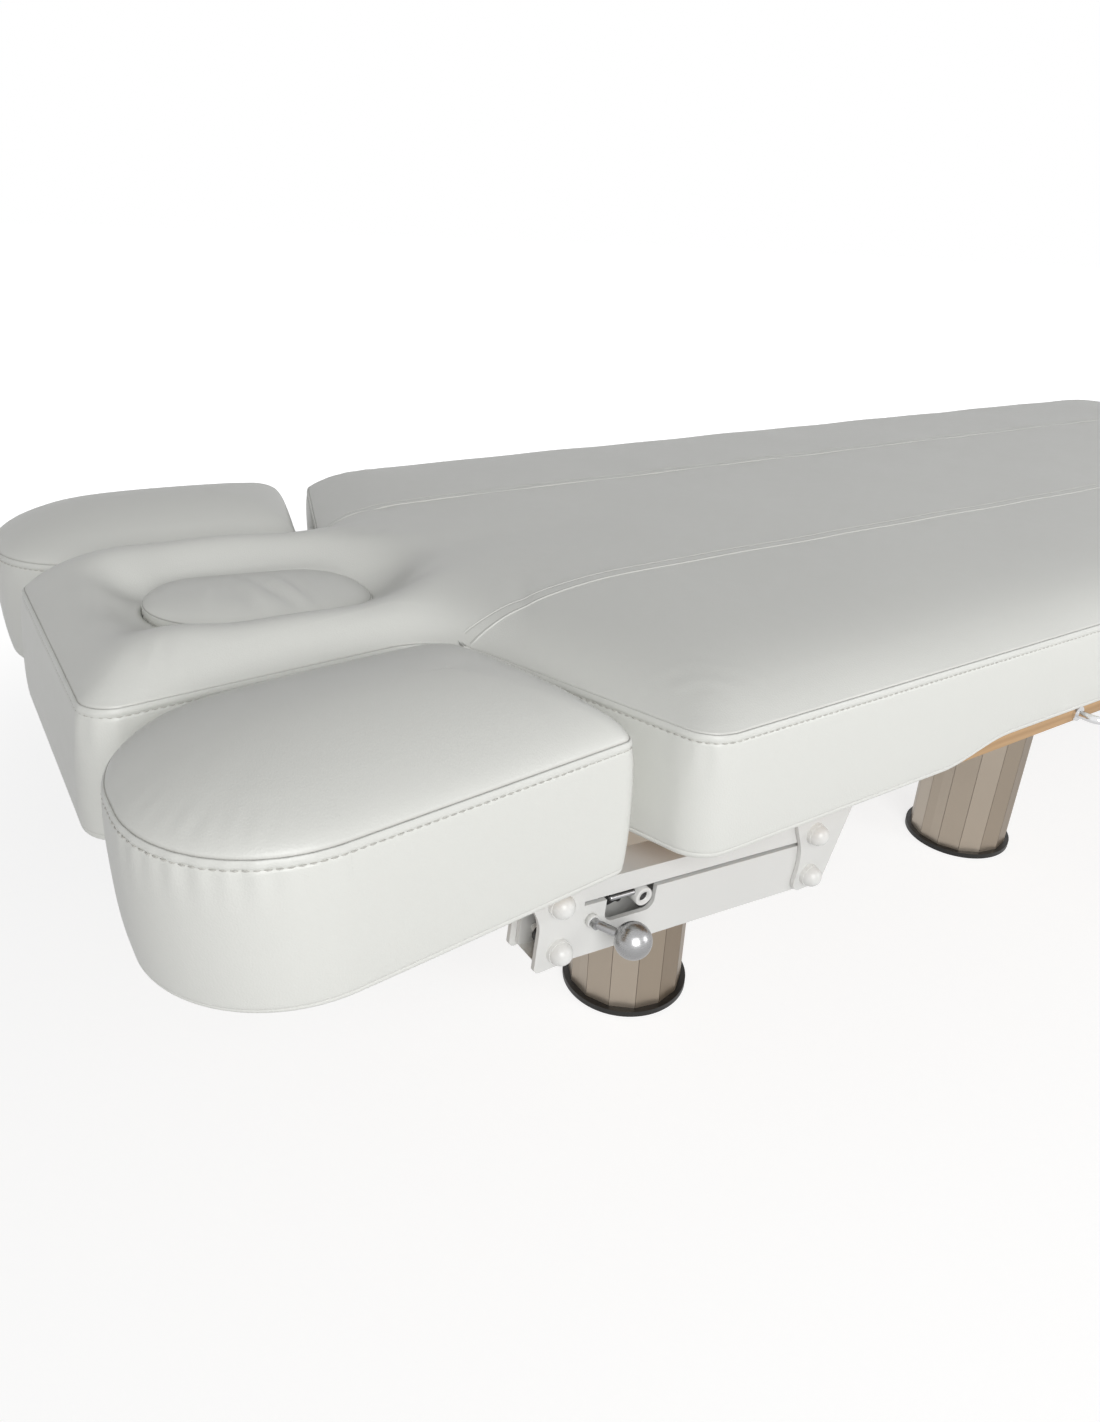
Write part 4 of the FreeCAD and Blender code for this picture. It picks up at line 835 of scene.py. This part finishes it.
side_z = plug_lean(plug_edge[:, :1])
side_z = side_z - PLUG_DROPS * (side_z - plug_low.z) / PLUG_DROPS[-1]
base_xy = rows_between(side_xy[:, -1], spine, [0.6, 1])
plug_table = [level(plug_xy, plug_z)[:, ::-1], level(side_xy, side_z), level(base_xy, plug_low.z)]
plug_table = np.concatenate(plug_table, axis=1)
# Painted shade along the plug's seam row, which the leather finish reads as an attribute and darkens by.
plug_painted_shade = np.zeros(plug_table.shape[:2])
plug_painted_shade[:, len(PLUG_ROWS) - 1] = 1
plug = piece("plug_cover", plug_table, "face_plug", leather, WELD, plug_painted_shade)
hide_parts("face_plug")

# %% [markdown]
# ## The armrests
# Each armrest is a pad with a large round corner at the front and a sharp one at the back. Round the large
# corner the cover is gathered into the seam, which leaves small pleats above and below it.

# %% Armrest pattern
ARM_DEPTH = SEAM_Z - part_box("armrest_cushion_right")[0].z
ARM_BOARD, ARM_UNDER = 12.3 * MM, -9.4 * MM
ARM_CORNERS = ((-1.016, -0.396, 0.100), (-1.016, -0.176, 0.100), (-0.736, -0.154, 0.036),
               (-0.685, -0.365, 0.014))
ARM_HEART = (-0.905, -0.790, -0.272)
ARM_ROWS = np.linspace(0, 1, 19)[1:] ** 1.3
ARM_ROLL, ARM_LIP = (14 * MM, 20 * MM), (3.4 * MM, 3.5 * MM)
ARM_DOME, ARM_SPAN, ARM_REAR = 26.2 * MM, 0.108, 0.036
ARM_FOLDS = ((-0.955, -0.330, 48, 0.030, 0.010, -0.0003), (-0.975, -0.290, 70, 0.030, 0.010, 0.0003),
             (-0.745, -0.330, 100, 0.03, 0.009, -0.0005))
arm_edge = paced(rounded_path(ARM_CORNERS, True), 5 * MM, 2.4 * MM)
arm_out = -outward(arm_edge, True)
gathers = bell(np.hypot(arm_edge[:, 0] + 0.982, arm_edge[:, 1] + 0.367), 0.085)[:, None]
pleats = gathers * ripple(travelled(arm_edge))[:, None]
print("armrest lines", len(arm_edge), "depth", round(ARM_DEPTH, 4))


# %% Armrest pads
def armrest_top():
    """Top of the pad: rows from the seam in to a short spine, raised by a dome, folds and pleats.

    The dome is a swell beside the seam and a parabola that rises over a span from the seam inwards, for
    which the rear edge is taken as further off.
    """
    inside = arm_edge - (TUCK + CREASE) * arm_out
    heart = np.stack([np.clip(inside[:, 0], *ARM_HEART[:2]), np.full(len(inside), ARM_HEART[2])], axis=1)
    xy, across = rows_inward(inside, heart, ARM_ROWS)
    x, y = xy[..., 0], xy[..., 1]
    longer = inside + np.where(inside[:, :1] > ARM_HEART[1], [ARM_REAR, 0], 0)
    far = soft_distance(x, y, paced(longer, 4 * MM, 4 * MM), 24 * MM)
    height = swell(across, *ARM_LIP) + swell(across, *ARM_ROLL)
    height += ARM_DOME * (1 - (1 - np.minimum(far / ARM_SPAN, 1)) ** 2)
    small = folds(x, y, ARM_FOLDS) + 0.3 * MM * pleats * bell(across - 0.010, 0.008)
    return level(xy, SEAM_Z + height + small * swell(across, 1, SETTLE) - seam_dip(across)), heart


def armrest_table():
    """Closed pad: top, boxing with a rounder hem at the front corner, and underside."""
    top, heart = armrest_top()
    bottom = np.full(len(arm_edge), ARM_DEPTH)
    drop = boxing_rows(bottom)
    out = boxing(drop, bottom[:, None], HEM + 2.5 * MM * gathers)
    out += 0.5 * MM * pleats * bell(drop - 0.013, 0.011)
    deep = ARM_DEPTH - ARM_BOARD
    out, drop = lips(out, drop, ARM_UNDER, deep)
    wall = arm_edge[:, None] + arm_out[:, None] * out[..., None]
    floor = rows_between(wall[:, -1], heart, [0.5, 1])
    table = np.concatenate([top[:, ::-1], level(wall, SEAM_Z - drop), level(floor, SEAM_Z - deep)], axis=1)
    return table, seam_painted_shade(table.shape[:2], top.shape[1] - 1)


table, painted_shade = armrest_table()
for side, sign in SIDES:
    pad = piece("armrest_cover_" + side, on_side(table, sign), "armrest_" + side, leather,
                WELD, painted_shade)
    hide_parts("armrest_cushion_" + side)

# %% [markdown]
# ## Stitches
# A row of top stitching runs close below each edge seam. Every stitch is a short arched capsule. One capsule
# is worked out and set down along the row by whole arrays.

# %% Sewing tools
STITCH_LONG, STITCH_GIRTH, PITCH = 4.4 * MM, 0.5 * MM, 6 * MM
SPOKES = 5
CAPS = np.array([[0, 20, 15, 10], [0, 10, 5, 0], [4, 9, 14, 19], [4, 19, 24, 4]])


def stitches(path, facing):
    """Capsules along a row, of five spokes by five rings.

    Their radius and lift follow half a sine along the stitch, and they lift to where the row faces.
    """
    way = travelled(path)
    wanted = np.arange(PITCH / 2, way[-1], PITCH)
    spots = at_ways(wanted, way, path)
    heading = unit(at_ways(wanted + PITCH / 8, way, path) - at_ways(wanted - PITCH / 8, way, path))
    up = at_ways(wanted / way[-1], np.linspace(0, 1, len(facing)), facing)
    up = unit(up - heading * (up * heading).sum(axis=1)[:, None])
    beside = np.cross(heading, up)
    step = np.linspace(0, 1, SPOKES)
    radius = STITCH_GIRTH * np.sin(math.pi * np.clip(step, 0.06, 0.94)) ** 0.5
    lift = STITCH_GIRTH * (1.1 * np.sin(math.pi * step) - 0.35)
    turn = np.linspace(0, 2 * math.pi, SPOKES + 1)[:-1, None]
    forward = (step - 0.5) * STITCH_LONG + 0 * turn
    rise = lift + radius * np.cos(turn)
    aside = radius * np.sin(turn)
    points = (spots[:, None, None] + heading[:, None, None] * forward[None, ..., None]
              + up[:, None, None] * rise[None, ..., None] + beside[:, None, None] * aside[None, ..., None])
    quads = np.vstack([grid_quads((SPOKES, SPOKES), wrap=True), CAPS])
    firsts = np.arange(len(spots))[:, None, None] * SPOKES ** 2
    return points.reshape(-1, 3), (firsts + quads).reshape(-1, 4)


def sew(name, rows, body):
    """One piece from several rows of stitches. A cap's repeated corner is dropped: it is a triangle."""
    points, faces, start = [], [], 0
    for path, facing in rows:
        some, quads = stitches(path, facing)
        points.append(some)
        faces += [list(dict.fromkeys(face)) for face in (quads + start).tolist()]
        start += len(some)
    piece(name, np.vstack(points), body, thread, faces=faces)


def stitch_row(path, normals, offset, height):
    """Row at a height, off a plan path by an offset along its normals, and the way it faces."""
    row = np.column_stack([path + normals * offset, np.broadcast_to(height, len(path))])
    return row, np.column_stack([normals, np.zeros(len(path))])


print("stitches in a metre", round(1 / PITCH))

# %% Stitch rows
ON_BOXING = float(boxing(STITCH_DROP, DEPTH, HEM)) + 0.3 * MM
bed_row = stitch_row(half, half_out, ON_BOXING, SEAM_Z - STITCH_DROP)
arm_row = stitch_row(arm_edge, arm_out, ON_BOXING, SEAM_Z - STITCH_DROP)
plug_row = stitch_row(plug_edge, plug_out, -0.3 * MM, plug_lean(plug_edge[:, 0]) - PLUG_STITCH)
sew("mattress_stitches", [[on_side(part, sign) for part in bed_row] for side, sign in SIDES], "bed")
for side, sign in SIDES:
    sew("armrest_stitches_" + side, [[on_side(part, sign) for part in arm_row]], "armrest_" + side)
sew("plug_stitches", [plug_row], "face_plug")

# %% [markdown]
# ## The lock in the lower link
# Behind the window of each lower link sits the lock: a dark pawl, the rod that draws it and a white bush on
# its pin between the cheeks. A white collar carries the lever's shaft. They are turned or sawn, so each is
# a profile carried round an axis or along the link's depth.

# %% Tools for the link
link_low, link_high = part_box("lower_link_right")
LINK_FACE = -link_low.y
LINK_DEEP = LINK_FACE + link_high.y - 4 * MM
LOCK_WELD = 2e-6


def lower_pivot(node):
    """Centre of the lower pin of a pair: half a cap's width above the pair's lowest point."""
    low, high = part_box(node)
    return np.array([(low.x + high.x) / 2, low.z + (high.x - low.x) / 2])


arm_pin, bed_pin = lower_pivot("arm_pivot_bolts_right"), lower_pivot("bed_pivot_bolts_right")
LINK_ALONG = unit(bed_pin - arm_pin)
LINK_UP = np.array([-LINK_ALONG[1], LINK_ALONG[0]])


def fit(name, where, along, up, depth, slot):
    """A closed piece of the lock on the lower link of a side.

    Its points are distances along the link from its arm pin, above that line, and in from the outer face.
    """
    side, sign = where
    plan = arm_pin + along[..., None] * LINK_ALONG + up[..., None] * LINK_UP
    table = np.stack([plan[..., 0], sign * (LINK_FACE - depth), plan[..., 1]], axis=-1)
    piece(name + "_" + side, table, "lower_link_" + side, FINISHES[slot], LOCK_WELD)


def turned(name, where, place, profile, slot):
    """A closed profile (radius, depth) carried round an axis across the link."""
    turn = np.linspace(0, 2 * math.pi, 41)[:, None]
    radius, depth = np.array(profile + profile[:1]).T * MM
    fit(name, where, place[0] * MM + radius * np.cos(turn), place[1] * MM + radius * np.sin(turn),
        depth + 0 * turn, slot)


def sawn(name, where, corners, rows, slot):
    """An outline with round corners carried in depth: rows of (inset, depth), closed in the middle."""
    outline = paced(rounded_path(np.array(corners) * MM, True), 2 * MM, 0.5 * MM)
    normals = outward(outline, True)
    inset, depth = np.array(rows).T * MM
    flat = outline[:, None] - normals[:, None] * inset[None, :, None]
    middle = np.repeat(outline[:-1].mean(axis=0)[None, None], len(outline), 0)
    flat = np.concatenate([middle, flat, middle], axis=1)
    depth = np.concatenate([depth[:1], depth, depth[-1:]])
    fit(name, where, flat[..., 0], flat[..., 1], np.broadcast_to(depth, flat.shape[:2]), slot)


print("lower link from", arm_pin.round(4), "to", bed_pin.round(4))

# %% Lock pieces, in millimetres
INNER_FACE = LINK_DEEP / MM
SHAFT_AT, BUSH_AT = (31, 16), (82, 22)
COLLAR = [(4.1, -4.4), (5.0, -4.4), (5.4, -4.1), (5.6, -3.5), (5.6, 0.05), (4.1, 0.05)]
BUSH = [(4.5, 0.4), (7.5, 0.4), (8.0, 0.9), (8.0, INNER_FACE), (4.5, INNER_FACE)]
PIN = [(0.2, 2.6), (4.0, 2.6), (4.4, 3.0), (4.4, INNER_FACE), (0.2, INNER_FACE)]
PAWL = ((46, 33, 2), (46, 22, 2), (53, 17, 2), (60, 19, 2), (64, 17, 2), (68, 24, 2), (68, 33, 2))
ROD = ((50, 28.6, 2.5), (50, 23.4, 2.5), (76, 23.4, 2.5), (76, 28.6, 2.5))
for where in SIDES:
    turned("lever_collar", where, SHAFT_AT, COLLAR, "white_metal")
    turned("lock_bush", where, BUSH_AT, BUSH, "white_metal")
    turned("lock_pin", where, BUSH_AT, PIN, "lock_steel")
    sawn("lock_pawl", where, PAWL, ((0.8, 8), (0, 8.8), (0, INNER_FACE)), "lock_steel")
    sawn("lock_rod", where, ROD, ((2, 3), (1, 3.6), (0, 5.5), (0, 6.5), (1, 8.4), (2, 9)), "satin_steel")

# %% [markdown]
# ## Light, floor and camera
# The photograph has a white ground and a broad soft light from the viewer's side, so upright faces are
# bright and the top is greyer. The floor is white to the camera far away, and pale near the bed, where it
# keeps the shadow.

# %% Floor
WHITE = (1, 1, 1, 1)
FLOOR_SPOKES = 96
FLOOR_RINGS = np.array([0.02, 1.0, 3.0, 8.0, 40.0])


def seen_rays(tree):
    """1 for rays from the camera, metal or glass, and 1 for the camera's alone."""
    rays = add_node(tree, "LightPath").outputs
    passed_on = sums(tree, "MAXIMUM", rays["Is Glossy Ray"], rays["Is Transmission Ray"])
    return sums(tree, "MAXIMUM", rays["Is Camera Ray"], passed_on), rays["Is Camera Ray"]


# The camera sees some of the pale floor near the bed, with its shadow, and none further off.
floor_paint, tree, shader = new_finish("pale_floor", Base_Color=(0.86, 0.86, 0.86, 1), Roughness=0.9)
far = add_node(tree, "VectorMath", {"operation": "LENGTH"}, _0=object_spot(tree)).outputs["Value"]
share = add_node(tree, "MapRange", {"interpolation_type": "SMOOTHSTEP"}, Value=far, From_Min=1.2,
                 From_Max=3.2, To_Min=0.60, To_Max=1.0).outputs[0]
seen, direct = seen_rays(tree)
glow = add_node(tree, "Emission", Color=WHITE, Strength=between(tree, direct, 1.0, 0.30)).outputs[0]
share = sums(tree, "MULTIPLY", share, seen)
mix = add_node(tree, "MixShader", _0=share, _1=shader.outputs[0], _2=glow).outputs[0]
tree.links.new(mix, tree.nodes["Material Output"].inputs["Surface"])
turn = np.linspace(0, 2 * math.pi, FLOOR_SPOKES + 1)[:-1, None]
disc = np.dstack([FLOOR_RINGS * np.cos(turn), FLOOR_RINGS * np.sin(turn), 0 * FLOOR_RINGS * turn])
floor_faces = grid_quads(disc.shape, wrap=True)[:, ::-1].tolist()
floor_faces.append((np.arange(FLOOR_SPOKES) * len(FLOOR_RINGS)).tolist())
floor_mesh = bpy.data.meshes.new("floor")
floor_mesh.from_pydata(disc.reshape(-1, 3).tolist(), [], floor_faces)
floor_mesh.materials.append(floor_paint)
in_scene("floor", floor_mesh)
print("floor of", len(floor_faces), "faces")

# %% World and lamps
AMBIENT = 0.14
world = bpy.data.worlds.new("studio")
bpy.context.scene.world = world
world.use_nodes = True
tree = world.node_tree
back = tree.nodes["Background"]
tree.links.new(between(tree, seen_rays(tree)[0], AMBIENT, 1 - AMBIENT), back.inputs["Strength"])
back.inputs["Color"].default_value = WHITE


def soft_box(name, place, target, size, power):
    """Square lamp at a place, turned to a target."""
    lamp = bpy.data.lights.new(name, "AREA")
    lamp.energy = power
    lamp.size = size
    made = in_scene(name, lamp)
    made.location = place
    made.rotation_euler = (Vector(target) - Vector(place)).to_track_quat("-Z", "Y").to_euler()


soft_box("viewer_side", (-1.67, -3.26, 2.2), (-0.3, 0, 0.55), 2.2, 90)
soft_box("foot_side", (1.05, -1.9, 1.2), (0.35, -0.2, 0.55), 0.9, 9)
bpy.context.scene.view_settings.view_transform = "Standard"
print("lamps", [lamp.name for lamp in bpy.data.lights])

# %% Camera
CAMERA_AT = (-1.0715, -0.8237, 0.9303)
YAW, PITCH_DOWN, ROLL = (math.radians(angle) for angle in (56.31, 26.17, 2.35))
FOCAL_PIXELS, PICTURE_TALL, SENSOR = 994.5, 1422, 36.0
lens = bpy.data.cameras.new("viewer")
lens.sensor_width = SENSOR
lens.lens = SENSOR * FOCAL_PIXELS / PICTURE_TALL
lens.shift_y = -0.0044
lens.clip_start = 0.02
viewer = in_scene("viewer", lens)
level_turn = Matrix.Rotation(YAW - math.pi / 2, 4, "Z") @ Matrix.Rotation(math.pi / 2 - PITCH_DOWN, 4, "X")
viewer.matrix_world = Matrix.Translation(CAMERA_AT) @ level_turn @ Matrix.Rotation(ROLL, 4, "Z")
bpy.context.scene.camera = viewer
print("camera lens", round(lens.lens, 2), "mm")
